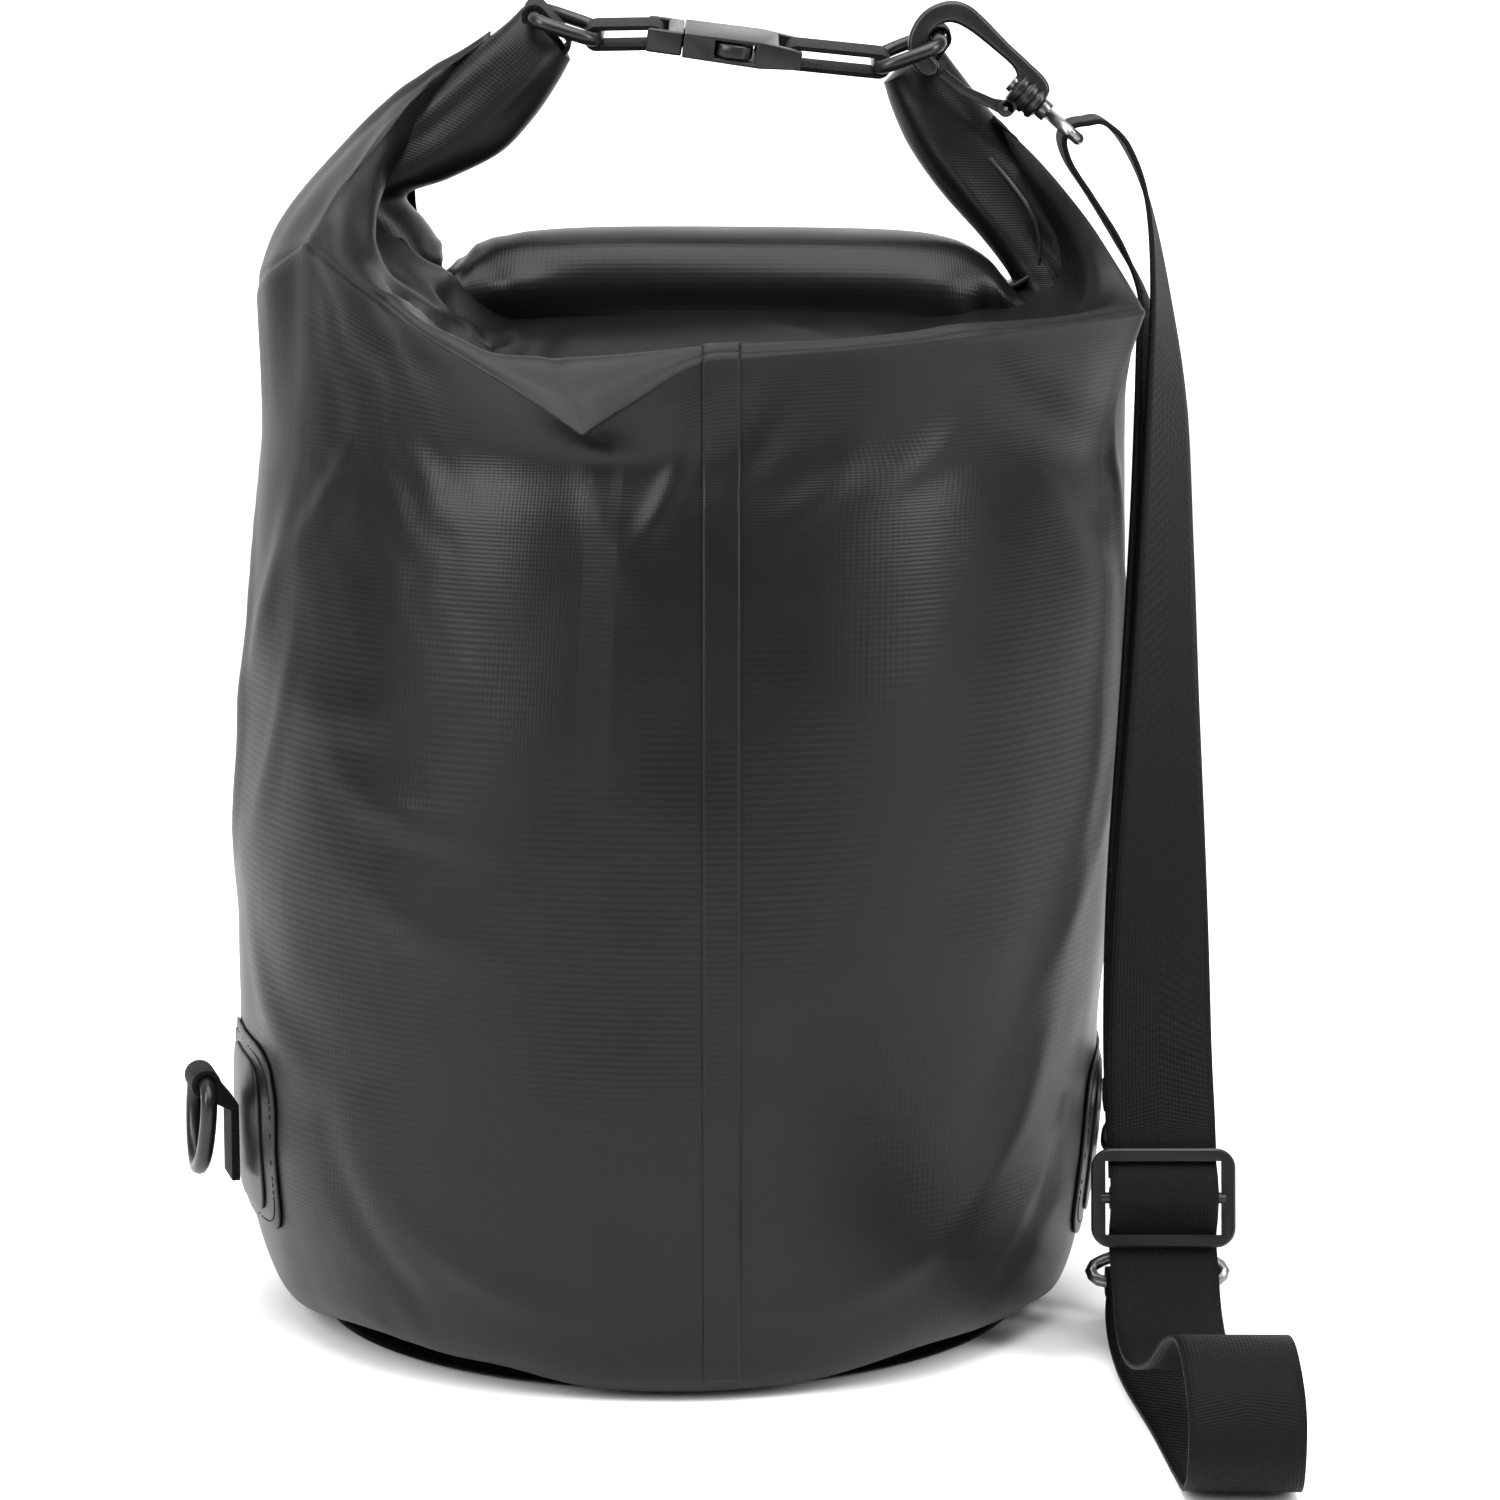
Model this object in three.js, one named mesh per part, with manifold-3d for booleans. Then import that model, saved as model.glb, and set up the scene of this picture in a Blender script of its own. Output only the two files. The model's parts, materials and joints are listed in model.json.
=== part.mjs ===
// Roll-top dry bag for climbing rope, about 30 litres, with a clipped carry handle and a
// shoulder strap on two swivel snap hooks. Millimetres, +Z up, origin at the centre of the
// base's underside, -Y towards the welded front seam, +X towards the shoulder strap.
import * as THREE from 'three';
import { mergeVertices } from 'three/addons/utils/BufferGeometryUtils.js';
import Module from 'manifold-3d';

const wasm = await Module();
wasm.setup();

// ---------------------------------------------------------------- driving dimensions
const FABRIC = 2.0;            // wall of the stand-in shell; the real coated fabric is 0.6
const GAP = 0.3;               // clearance between pieces that touch
const BAG_RADIUS = 158;
const BASE_RADIUS = 138;
const BASE_THICK = 2.3;
const BASE_FLATTER = 3;        // the base is this much less deep than wide, at each edge
const ROUND_SIDES = 56;        // facets round the bag
const RIM_Z = 364;             // where the wall folds over towards the roll
const SLOT_Z = 350;            // underside of the rolled mouth
const ROLL_DEPTH = 44;         // rolled mouth, front to back
const SEAM_WIDTH = 12.7;
const SEAM_X = 19.5;
const SEAM_THICK = 0.7;
const WEB_THICK = 1.6;         // narrow buckle webbing
const WEB_WIDTH = 20;
const STRAP_WIDTH = 38;
const STRAP_THICK = 1.8;
const RING_WIRE = 2.5;
const D_WIRE = 3;
const HANDLE_TILT = 7;         // the clipped handle leans, far side up
const BUCKLE_SLOPE = 7.9;
const HOOK_SLOPE = 40;
const HOOK_THICK = 6.4;
const PATCH_OFFSET = 0.4;      // patch underside, out from the wall
const PATCH_THICK = 0.9;
const PAD_TOP = PATCH_OFFSET + PATCH_THICK + 1.5;
const PATCH = { halfWidth: 40, halfHeight: 34, corner: 12 };
const PAD = { halfWidth: 26, halfHeight: 27, corner: 8 };
const EYE_REACH = 23.5;        // swivel boss to the strap bar
const EYE_WIRE = 2.2;

// ---------------------------------------------------------------- materials
function finish(color, roughness, metalness = 0) {
  return new THREE.MeshStandardMaterial({ color, roughness, metalness });
}

const tarpaulin = () => finish(0x35363a, 0.45);
const webbing = () => finish(0x1c1c1e, 0.8);
const mouldedPlastic = () => finish(0x18181a, 0.4);
const paintedMetal = () => finish(0x1b1b1d, 0.35, 0.6);
const plainSteel = () => finish(0xa8a8aa, 0.3, 1);

// ---------------------------------------------------------------- solids and booleans
function toSolid(geometry) {
  const bare = geometry.clone();
  bare.deleteAttribute('normal');
  bare.deleteAttribute('uv');
  const merged = mergeVertices(bare, 1e-4);
  const mesh = new wasm.Mesh({
    numProp: 3,
    vertProperties: new Float32Array(merged.attributes.position.array),
    triVerts: new Uint32Array(merged.index.array),
  });
  return new wasm.Manifold(mesh);
}

function toGeometry(solid) {
  const mesh = solid.getMesh();
  const geometry = new THREE.BufferGeometry();
  geometry.setAttribute('position', new THREE.BufferAttribute(mesh.vertProperties, 3));
  geometry.setIndex(new THREE.BufferAttribute(mesh.triVerts, 1));
  geometry.computeVertexNormals();
  return geometry;
}

function join(first, ...others) {
  return toGeometry(others.reduce((sum, other) => sum.add(toSolid(other)), toSolid(first)));
}

function cut(first, ...others) {
  return toGeometry(others.reduce((sum, other) => sum.subtract(toSolid(other)), toSolid(first)));
}

function overlap(first, second) {
  return toGeometry(toSolid(first).intersect(toSolid(second)));
}

function mapVertices(geometry, place) {
  const position = geometry.attributes.position;
  const point = new THREE.Vector3();
  for (let i = 0; i < position.count; i += 1) {
    point.fromBufferAttribute(position, i);
    const moved = place(point);
    position.setXYZ(i, moved.x, moved.y, moved.z);
  }
  return geometry;
}

function box(low, high) {
  const size = high.map((value, i) => value - low[i]);
  const middle = high.map((value, i) => (value + low[i]) / 2);
  return new THREE.BoxGeometry(...size).translate(...middle);
}

function rod(radius, length, axis = 'y', sides = 16) {
  const geometry = new THREE.CylinderGeometry(radius, radius, length, sides);
  if (axis === 'x') geometry.rotateZ(Math.PI / 2);
  return geometry;
}

// An outline in the X-Z plane, pushed out along Y about its middle.
function plateXZ(points, thick, bevel = 0) {
  const shape = new THREE.Shape(points.map(([x, z]) => new THREE.Vector2(x, z)));
  const geometry = new THREE.ExtrudeGeometry(shape, {
    depth: thick - 2 * bevel,
    bevelEnabled: bevel > 0,
    bevelThickness: bevel,
    bevelSize: bevel,
    bevelOffset: -bevel,
    bevelSegments: 2,
    curveSegments: 8,
  });
  geometry.translate(0, 0, -(thick - 2 * bevel) / 2);
  return geometry.rotateX(Math.PI / 2);
}

// A closed wire ring: a torus bent round a closed path in the X-Y plane.
function wireRing(points, wire, segments = 40) {
  const startRadius = 100;
  const path = new THREE.CatmullRomCurve3(
    points.map(([x, y]) => new THREE.Vector3(x, y, 0)), true, 'centripetal');
  const torus = new THREE.TorusGeometry(startRadius, wire, 10, segments);
  return mapVertices(torus, (p) => {
    const turn = Math.atan2(p.y, p.x) / (2 * Math.PI);
    const u = (turn + 1) % 1;
    const centre = path.getPointAt(u);
    const along = path.getTangentAt(u);
    const outward = Math.hypot(p.x, p.y) - startRadius;
    return new THREE.Vector3(
      centre.x + along.y * outward, centre.y - along.x * outward, p.z);
  });
}

// A flat band swept along a path; each stop is [x, y, z, turn], where turn is the angle in
// degrees from "width along Y" towards "width along X".
function sweptBand(stops, width, thick, steps) {
  const path = new THREE.CatmullRomCurve3(
    stops.map(([x, y, z]) => new THREE.Vector3(x, y, z)), false, 'centripetal');
  const last = stops.length - 1;
  const band = new THREE.BoxGeometry(width, thick, 1, 1, 1, steps);
  return mapVertices(band, (p) => {
    const t = p.z + 0.5;
    const centre = path.getPoint(t);
    const along = path.getTangent(t);
    const stop = Math.min(Math.floor(t * last), last - 1);
    const part = t * last - stop;
    const turn = THREE.MathUtils.degToRad(
      stops[stop][3] * (1 - part) + stops[stop + 1][3] * part);
    const across = new THREE.Vector3(Math.sin(turn), Math.cos(turn), 0);
    across.addScaledVector(along, -across.dot(along)).normalize();
    const face = new THREE.Vector3().crossVectors(along, across).normalize();
    return centre.addScaledVector(across, p.x).addScaledVector(face, p.y);
  });
}

// Webbing sewn into a loop round two bars, in the X-Z plane.
function webbingLoop(length, innerRadius, thick, width) {
  const stadium = (radius, Kind) => {
    const path = new Kind();
    path.absarc(0, 0, radius, Math.PI / 2, 1.5 * Math.PI, false);
    path.absarc(length, 0, radius, -Math.PI / 2, Math.PI / 2, false);
    path.closePath();
    return path;
  };
  const shape = stadium(innerRadius + thick, THREE.Shape);
  shape.holes.push(stadium(innerRadius, THREE.Path));
  const geometry = new THREE.ExtrudeGeometry(shape, {
    depth: width, bevelEnabled: false, curveSegments: 8,
  });
  return geometry.translate(0, 0, -width / 2).rotateX(Math.PI / 2);
}

// ---------------------------------------------------------------- scene helpers
const bag = new THREE.Group();

function add(parent, name, geometry, material) {
  const mesh = new THREE.Mesh(geometry, material);
  mesh.name = name;
  parent.add(mesh);
  return mesh;
}

function frameAt(position, turns = [0, 0, 0], order = 'XYZ') {
  const group = new THREE.Group();
  group.position.set(...position);
  group.rotation.set(...turns.map(THREE.MathUtils.degToRad), order);
  bag.add(group);
  return group;
}

// ---------------------------------------------------------------- bag wall and base
// Sections of the filled bag: height, centre x, half width, half depth, squareness.
const SECTIONS = [
  [BASE_THICK + GAP, 0, BASE_RADIUS, BASE_RADIUS - BASE_FLATTER, 2],
  [16, -0.5, BAG_RADIUS - 10, BAG_RADIUS - 13, 2],
  [60, -2.5, BAG_RADIUS - 0.5, BAG_RADIUS - 3, 2],
  [150, 0, BAG_RADIUS, BAG_RADIUS - 1, 2],
  [260, 5, BAG_RADIUS, BAG_RADIUS - 6, 2.05],
  [325, 9, BAG_RADIUS - 1, BAG_RADIUS - 18, 2.15],
  [352, 10, BAG_RADIUS - 4, BAG_RADIUS - 28, 2.2],
  [RIM_Z, 10, BAG_RADIUS - 9, BAG_RADIUS - 38, 2.2],
  [RIM_Z - 5, 10, BAG_RADIUS - 18, 80, 2.2],
  [SLOT_Z, 10, 121, 22, 2.4],
];

const TOP_ROW = 7;              // the row at the folded rim

function sectionAt(level) {
  const last = SECTIONS.length - 1;
  const row = Math.min(Math.floor(level), last - 1);
  const part = level - row;
  return SECTIONS[row].map((value, i) => value * (1 - part) + SECTIONS[row + 1][i] * part);
}

function sectionPoint([z, centre, halfWidth, halfDepth, square], angle, offset) {
  const power = 2 / square;
  const c = Math.cos(angle);
  const s = Math.sin(angle);
  return new THREE.Vector3(
    centre + Math.sign(c) * Math.abs(c) ** power * (halfWidth + offset),
    Math.sign(s) * Math.abs(s) ** power * (halfDepth + offset),
    z);
}

// The bag's surface as a solid, grown by an offset; rows run up a plain cylinder.
function loft(rows, offset) {
  const tube = new THREE.CylinderGeometry(1, 1, 1, ROUND_SIDES, rows.length - 1);
  return mapVertices(tube, (p) => {
    const row = rows[Math.round((p.y + 0.5) * (rows.length - 1))];
    if (Math.hypot(p.x, p.z) < 0.5) return new THREE.Vector3(row[1], 0, row[0]);
    return sectionPoint(row, Math.atan2(-p.z, p.x), offset);
  });
}

function bagWall() {
  const outer = loft(SECTIONS, 0);
  const lid = SECTIONS.slice(TOP_ROW).map(([z, ...rest]) => [z - FABRIC, ...rest]);
  const bottom = [-5, ...SECTIONS[0].slice(1)];
  const neck = [SLOT_Z + 20, ...SECTIONS[SECTIONS.length - 1].slice(1)];
  const hollow = loft([bottom, ...SECTIONS.slice(0, TOP_ROW), ...lid, neck], -FABRIC);
  return cut(outer, hollow);
}

function bagBase() {
  const edge = 1;
  const profile = [
    [0, 0], [BASE_RADIUS - edge, 0], [BASE_RADIUS, edge], [BASE_RADIUS, BASE_THICK],
    [0, BASE_THICK],
  ].map(([r, z]) => new THREE.Vector2(r, z));
  const disc = new THREE.LatheGeometry(profile, ROUND_SIDES).rotateX(Math.PI / 2);
  return disc.scale(1, (BASE_RADIUS - BASE_FLATTER) / BASE_RADIUS, 1);
}

// A piece of sheet laid on the wall: the layer between two offsets, trimmed by a prism.
function wallPiece(prism, inner, outer) {
  const rows = SECTIONS.slice(0, TOP_ROW + 1);
  const [lowZ, ...low] = rows[0];
  const [highZ, ...high] = rows[TOP_ROW];
  const core = [[lowZ - 1, ...low], ...rows.slice(1, TOP_ROW), [highZ + 1, ...high]];
  return overlap(cut(loft(rows, outer), loft(core, inner)), prism);
}

// A rounded rectangle pushed from the bag's axis out through the wall, towards an azimuth.
function wallPrism({ halfWidth, halfHeight, corner }, azimuth, centreZ) {
  const w = halfWidth - corner;
  const h = halfHeight - corner;
  const shape = new THREE.Shape();
  shape.absarc(w, h, corner, 0, Math.PI / 2);
  shape.absarc(-w, h, corner, Math.PI / 2, Math.PI);
  shape.absarc(-w, -h, corner, Math.PI, 1.5 * Math.PI);
  shape.absarc(w, -h, corner, 1.5 * Math.PI, 2 * Math.PI);
  const prism = new THREE.ExtrudeGeometry(shape, {
    depth: BAG_RADIUS + 60, bevelEnabled: false, curveSegments: 5,
  });
  prism.rotateX(Math.PI / 2).rotateZ(Math.PI / 2 + THREE.MathUtils.degToRad(azimuth));
  return prism.translate(0, 0, centreZ);
}

add(bag, 'bag_wall', bagWall(), tarpaulin());
add(bag, 'bag_base', bagBase(), tarpaulin());
const seamPrism = box([SEAM_X - SEAM_WIDTH / 2, -200, 14], [SEAM_X + SEAM_WIDTH / 2, -60, 352]);
add(bag, 'seam_tape', wallPiece(seamPrism, GAP, GAP + SEAM_THICK), tarpaulin());

// ---------------------------------------------------------------- rolled mouth
// The roll lies across the top; its two ends stand up as arms towards the buckle.
const ROLL_OUTLINE = [
  [-55, 470], [-38, 451], [-59, 423], [-92, 407], [-87, 392], [-76, 388], [-60, 393.5],
  [18, 394], [94, 393.5], [111, 387], [122, 374], [119, 385], [104, 401], [86, 423],
  [79, 442], [100, 453], [118, 435], [136.5, 417], [154, 391], [165, 371], [152, 366],
  [128, SLOT_Z + 4], [-108, SLOT_Z + 4], [-131, 366], [-142, 370], [-139, 388],
  [-133, 409], [-114, 426], [-72, 457],
];
const ARM_START_Z = 400;
const ARM_RISE = 40;
const RIGHT_ARM_SHIFT = 16;    // the right arm stands behind the snap hook

function behindHook(p) {
  if (p.x < 70) return p.clone();
  const t = THREE.MathUtils.clamp((p.z - ARM_START_Z) / ARM_RISE, 0, 1);
  return new THREE.Vector3(p.x, p.y * (1 - 0.25 * t) + RIGHT_ARM_SHIFT * t, p.z);
}

const STIFFENER_PATH = [
  [-62, 444], [-92, 421], [-108, 398], [-96, 377], [-60, 371], [18, 371],
  [95, 371], [130, 379], [131, 398], [110, 426],
];
const CHANNEL_ENDS = [[-39, 468], [86, 456]];
const STRIP_ENDS = [[-47.5, 459], [95, 444.7]];

// The plastic strip welded to the mouth's edge, folded up in the middle of the roll.
function stiffener([first, last], thick, width) {
  const stops = [first, ...STIFFENER_PATH, last].map(([x, z]) => [x, 0, z, 0]);
  return mapVertices(sweptBand(stops, width, thick, 44), behindHook);
}

const roll = mapVertices(plateXZ(ROLL_OUTLINE, ROLL_DEPTH, 6), behindHook);
add(bag, 'roll_top', cut(roll, stiffener(CHANNEL_ENDS, 2.6, 21)), tarpaulin());
add(bag, 'stiffener_strip', stiffener(STRIP_ENDS, 1.6, 20), mouldedPlastic());

// ---------------------------------------------------------------- D-ring patches
const D_BAR_HALF = 15.5;
const D_HEIGHT = 32;
const D_PATH = [
  [0, 0], [10, 0], [D_BAR_HALF, -2.5], [D_BAR_HALF + 1, -12], [11, -25], [0, -D_HEIGHT],
  [-11, -25], [-D_BAR_HALF - 1, -12], [-D_BAR_HALF, -2.5], [-10, 0],
];
const KEEPER_BORE = 3.4;
const KEEPER_THICK = 2;
const KEEPER_WIDTH = 18;
const BAR_STAND_OFF = 12;      // ring bar's distance out from the pad
const BAR_LEVEL = 2.3;         // row of the wall, counted with its fraction, level with the bar

// Webbing keeper: a flat tail sewn down the patch and an eye that holds the ring's bar.
function ringKeeper(standOff, tail) {
  const eye = KEEPER_BORE + KEEPER_THICK;
  const shape = new THREE.Shape();
  shape.absarc(0, 0, eye, -Math.PI / 2, Math.PI, false);
  shape.lineTo(-standOff, -8);
  shape.lineTo(-standOff, -tail);
  shape.lineTo(-standOff + 3, -tail);
  shape.lineTo(-standOff + 3, -10);
  shape.closePath();
  const bore = new THREE.Path();
  bore.absarc(0, 0, KEEPER_BORE, 0, 2 * Math.PI, false);
  shape.holes.push(bore);
  const keeper = new THREE.ExtrudeGeometry(shape, {
    depth: KEEPER_WIDTH, bevelEnabled: false, curveSegments: 8,
  });
  return keeper.translate(0, 0, -KEEPER_WIDTH / 2).rotateX(Math.PI / 2);
}

// Angles in degrees; tail is how far the keeper's sewn tail hangs below the bar.
function dRingPatch(side, azimuth, centreZ, barZ, ringSwing, tail) {
  const patchTop = PATCH_OFFSET + PATCH_THICK;
  const patch = wallPiece(wallPrism(PATCH, azimuth, centreZ), PATCH_OFFSET, patchTop);
  const pad = wallPiece(wallPrism(PAD, azimuth, centreZ), patchTop + GAP, PAD_TOP);
  add(bag, `${side}_patch`, patch, tarpaulin());
  add(bag, `${side}_patch_pad`, pad, tarpaulin());
  const turn = THREE.MathUtils.degToRad(azimuth);
  const foot = sectionPoint(sectionAt(BAR_LEVEL), turn, PAD_TOP + GAP);
  const bar = [foot.x + Math.cos(turn) * BAR_STAND_OFF, foot.y + Math.sin(turn) * BAR_STAND_OFF, barZ];
  const base = frameAt(bar, [0, 0, azimuth], 'ZYX');
  add(base, `${side}_ring_keeper`, ringKeeper(BAR_STAND_OFF - 0.4, tail), webbing());
  const hanging = frameAt(bar, [0, 90 - ringSwing, azimuth], 'ZYX');
  const ring = wireRing(D_PATH.map(([y, x]) => [-x, y]), D_WIRE);
  add(hanging, `${side}_d_ring`, ring, paintedMetal());
}

dRingPatch('left', 195, 75, 91.5, 4, 36);
dRingPatch('right', -2, 64, 88, 5, 16);

// ---------------------------------------------------------------- carry handle
const OVAL = [
  [11.6, 0], [11.6, 10.6], [10.2, 14], [6.5, 15.8], [0, 16.2], [-6.5, 15.8], [-10.2, 14],
  [-11.6, 10.6], [-11.6, 0], [-11.6, -10.6], [-10.2, -14], [-6.5, -15.8], [0, -16.2],
  [6.5, -15.8], [10.2, -14], [11.6, -10.6],
];
const LEFT_RING = { centre: [-36.5, 0, 467.5], slope: 18.6 };
const RIGHT_RING = { centre: [85.5, 0, 458.2], slope: -21.1 };
const LOOP_BORE = RING_WIRE + GAP;

function handleRing(side, { centre, slope }) {
  add(frameAt(centre, [HANDLE_TILT, slope, 0]), `${side}_handle_ring`,
    wireRing(OVAL, RING_WIRE), paintedMetal());
}

// Loop from one bar centre to the other, both given in the X-Z plane.
function loopBetween(name, from, to, bore, width, offset = 0) {
  const length = Math.hypot(to[0] - from[0], to[1] - from[1]);
  const slope = THREE.MathUtils.radToDeg(-Math.atan2(to[1] - from[1], to[0] - from[0]));
  const group = frameAt([from[0], 0, from[1]], [HANDLE_TILT, slope, 0]);
  add(group, name, webbingLoop(length, bore, WEB_THICK, width).translate(0, offset, 0), webbing());
}

handleRing('left', LEFT_RING);
handleRing('right', RIGHT_RING);
loopBetween('left_end_tab', [-47.6, 471.3], [-39, 461.6], LOOP_BORE, 18);
loopBetween('right_end_tab', [91.5, 455.4], [96.5, 462.4], LOOP_BORE, 11, 5);

// ---------------------------------------------------------------- side-release buckle
const JOINT_LINE = [5.1, 0, 462.6];
const MALE_LENGTH = 12.8;
const FEMALE_LENGTH = 42.5;
const BAR = 3.4;
const BAR_HALF = 14.5;         // webbing bars, half their length across the buckle
const BUCKLE_WIDTH = 32;
const MALE_BAR_X = -MALE_LENGTH + BAR / 2;
const FEMALE_BAR_X = FEMALE_LENGTH - BAR / 2;

function webbingBar(x) {
  return box([x - BAR / 2, -BAR_HALF, -BAR / 2], [x + BAR / 2, BAR_HALF, BAR / 2]);
}

function buckleMale() {
  const block = box([-MALE_LENGTH, -15, -4.25], [0, 15, 4.25]);
  const mouth = box([-MALE_LENGTH - 1, -13, -6], [-5.6, 13, 6]);
  const tongue = box([-1, -3, -2.4], [20, 3, 2.4]);
  return join(cut(block, mouth), tongue, webbingBar(MALE_BAR_X));
}

function buckleFemale() {
  const block = plateXZ([
    [GAP, -4.4], [28, -4.75], [FEMALE_LENGTH - 3, -3.6], [FEMALE_LENGTH, -3],
    [FEMALE_LENGTH, 3], [FEMALE_LENGTH - 3, 3.6], [28, 4.75], [GAP, 4.4],
  ], BUCKLE_WIDTH);
  const socket = box([-1, -13.6, -3.1], [27, 13.6, 3.1]);
  const windows = box([11.5, -BUCKLE_WIDTH, -3.1], [26, BUCKLE_WIDTH, 3.1]);
  const mouth = box([34, -13, -6], [FEMALE_LENGTH + 1, 13, 6]);
  return join(cut(block, socket, windows, mouth), webbingBar(FEMALE_BAR_X));
}

// One springy prong; side is -1 for the near one and +1 for the far one.
function buckleProng(side) {
  const outline = [
    [0.6, 8], [24, 7], [25.2, 9.5], [24.6, 14.5], [22, 16.8], [15, 16.6], [12.2, 14.4],
    [11.6, 11.4], [0.6, 12],
  ].map(([x, y]) => new THREE.Vector2(x, y * side));
  const shape = new THREE.Shape(outline);
  const thick = 5;
  const prong = new THREE.ExtrudeGeometry(shape, { depth: thick, bevelEnabled: false });
  return prong.translate(0, 0, -thick / 2);
}

const buckle = frameAt(JOINT_LINE, [HANDLE_TILT, BUCKLE_SLOPE, 0]);
add(buckle, 'buckle_male', buckleMale(), mouldedPlastic());
add(buckle, 'buckle_female', buckleFemale(), mouldedPlastic());
add(buckle, 'buckle_prong_near', buckleProng(-1), mouldedPlastic());
add(buckle, 'buckle_prong_far', buckleProng(1), mouldedPlastic());

function onBuckle(x) {
  const slope = THREE.MathUtils.degToRad(BUCKLE_SLOPE);
  return [JOINT_LINE[0] + x * Math.cos(slope), JOINT_LINE[2] - x * Math.sin(slope)];
}

loopBetween('left_buckle_webbing', [-25.5, 463.8], onBuckle(MALE_BAR_X), LOOP_BORE, WEB_WIDTH);
loopBetween('right_buckle_webbing', onBuckle(FEMALE_BAR_X), [74.7, 454], LOOP_BORE, WEB_WIDTH);

// ---------------------------------------------------------------- snap hooks
// Outline of the hook in its own plane: x runs from the bow to the swivel, z to the spine.
const HOOK_OUTLINE = [
  [7, 5], [3, 9.4], [-6, 9.8], [-16, 9.6], [-30, 11.3], [-38, 10.8], [-44.4, 5], [-46.6, -4],
  [-44, -12], [-37, -18.3], [-30, -19], [-28, -15.5], [-29.6, -11.2], [-35.2, -10.6],
  [-38.7, -7], [-38.9, -2.5], [-36, 2.6], [-30, 4.3], [-16, 4.7], [-4, 5], [-3, 0],
  [-3, -4.8], [7, -4.8],
];
const GATE_OUTLINE = [
  [-27.2, -15], [-17, -14.8], [-6, -12], [-1.5, -11.1], [1, -9.8], [1.3, -7.4], [-0.5, -5.7],
  [-3, -6], [-7, -8.4], [-17, -11.4], [-27.2, -11.6],
];
const GATE_PIVOT = [-1.5, -8.4];
const BOSS_RADIUS = 6.2;
const SHANK = 2.1;
const PIN_HOLE = 1.2;
const EAR_Y = 2.65;            // the two ears that hold the gate's pin
const EAR_THICK = 1.1;

function hookBody() {
  const plate = plateXZ(HOOK_OUTLINE, HOOK_THICK, 1.2);
  const boss = rod(BOSS_RADIUS, 11, 'x', 20).translate(1.5, 0, 0);
  const ear = (y) => rod(3, EAR_THICK, 'y', 14).translate(GATE_PIVOT[0], y, GATE_PIVOT[1]);
  const neck = (y) => box(
    [GATE_PIVOT[0] - 2, y - EAR_THICK / 2, GATE_PIVOT[1]],
    [GATE_PIVOT[0] + 3, y + EAR_THICK / 2, -3]);
  const gateSlot = box([-8, -2.1, -12], [5, 2.1, -5.35]);
  const bore = rod(SHANK + GAP, 40, 'x', 14).translate(3, 0, 0);
  const pinHole = rod(PIN_HOLE, 12, 'y', 12).translate(GATE_PIVOT[0], 0, GATE_PIVOT[1]);
  const solid = join(plate, boss, ear(-EAR_Y), ear(EAR_Y), neck(-EAR_Y), neck(EAR_Y));
  return cut(solid, gateSlot, bore, pinHole);
}

function hookGate() {
  const leaf = plateXZ(GATE_OUTLINE, 3.6);
  return cut(leaf, rod(PIN_HOLE, 8, 'y', 12).translate(GATE_PIVOT[0], 0, GATE_PIVOT[1]));
}

function gatePin() {
  return rod(0.9, 6.6, 'y', 10).translate(GATE_PIVOT[0], 0, GATE_PIVOT[1]);
}

// Riveted shank and D-shaped eye for the strap, the eye's plane along Y.
function swivelEye() {
  const head = rod(3.2, 1.6, 'x', 14).translate(-5.2, 0, 0);
  const shank = rod(SHANK, 18, 'x', 14).translate(3, 0, 0);
  const collar = rod(3.6, 3.4, 'x', 14).translate(9.3, 0, 0);
  const eye = wireRing([
    [EYE_REACH, 0], [EYE_REACH, 14], [EYE_REACH, 20], [EYE_REACH - 1.5, 23],
    [EYE_REACH - 5, 24], [15.5, 20], [12.6, 10], [12, 0], [12.6, -10], [15.5, -20],
    [EYE_REACH - 5, -24], [EYE_REACH - 1.5, -23], [EYE_REACH, -20], [EYE_REACH, -14],
  ], EYE_WIRE, 44);
  return join(head, shank, collar, eye);
}

function snapHook(name, group, eyeGroup) {
  add(group, name, hookBody(), mouldedPlastic());
  add(group, `${name}_gate`, hookGate(), mouldedPlastic());
  add(group, `${name}_gate_pin`, gatePin(), plainSteel());
  add(eyeGroup, `${name}_eye`, swivelEye(), plainSteel());
}

const TOP_HOOK = [126.5, -7.5, 443.5];
const topHook = frameAt(TOP_HOOK, [0, HOOK_SLOPE, 0]);
snapHook('top_hook', topHook, topHook);

// The lower hook hangs on the front of the right D-ring; its eye is a quarter turn round.
const LOWER_HOOK = [176.6, -38.5, 37];
const lowerAxis = new THREE.Vector3(0, -0.63, -0.777).normalize();
const lowerSpine = new THREE.Vector3(1, 0, 0);
lowerSpine.addScaledVector(lowerAxis, -lowerSpine.dot(lowerAxis)).normalize();
const lowerSide = new THREE.Vector3().crossVectors(lowerSpine, lowerAxis);

function frameFrom(position, x, y, z) {
  const group = new THREE.Group();
  group.position.set(...position);
  group.quaternion.setFromRotationMatrix(new THREE.Matrix4().makeBasis(x, y, z));
  bag.add(group);
  return group;
}

const lowerHook = frameFrom(LOWER_HOOK, lowerAxis, lowerSide, lowerSpine);
const lowerEye = frameFrom(LOWER_HOOK, lowerAxis, lowerSpine, lowerSide.clone().negate());
snapHook('lower_hook', lowerHook, lowerEye);

// ---------------------------------------------------------------- shoulder strap
const SLIDER = [175, -90, 60];
const SLIDER_LEAN = 12;
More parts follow.
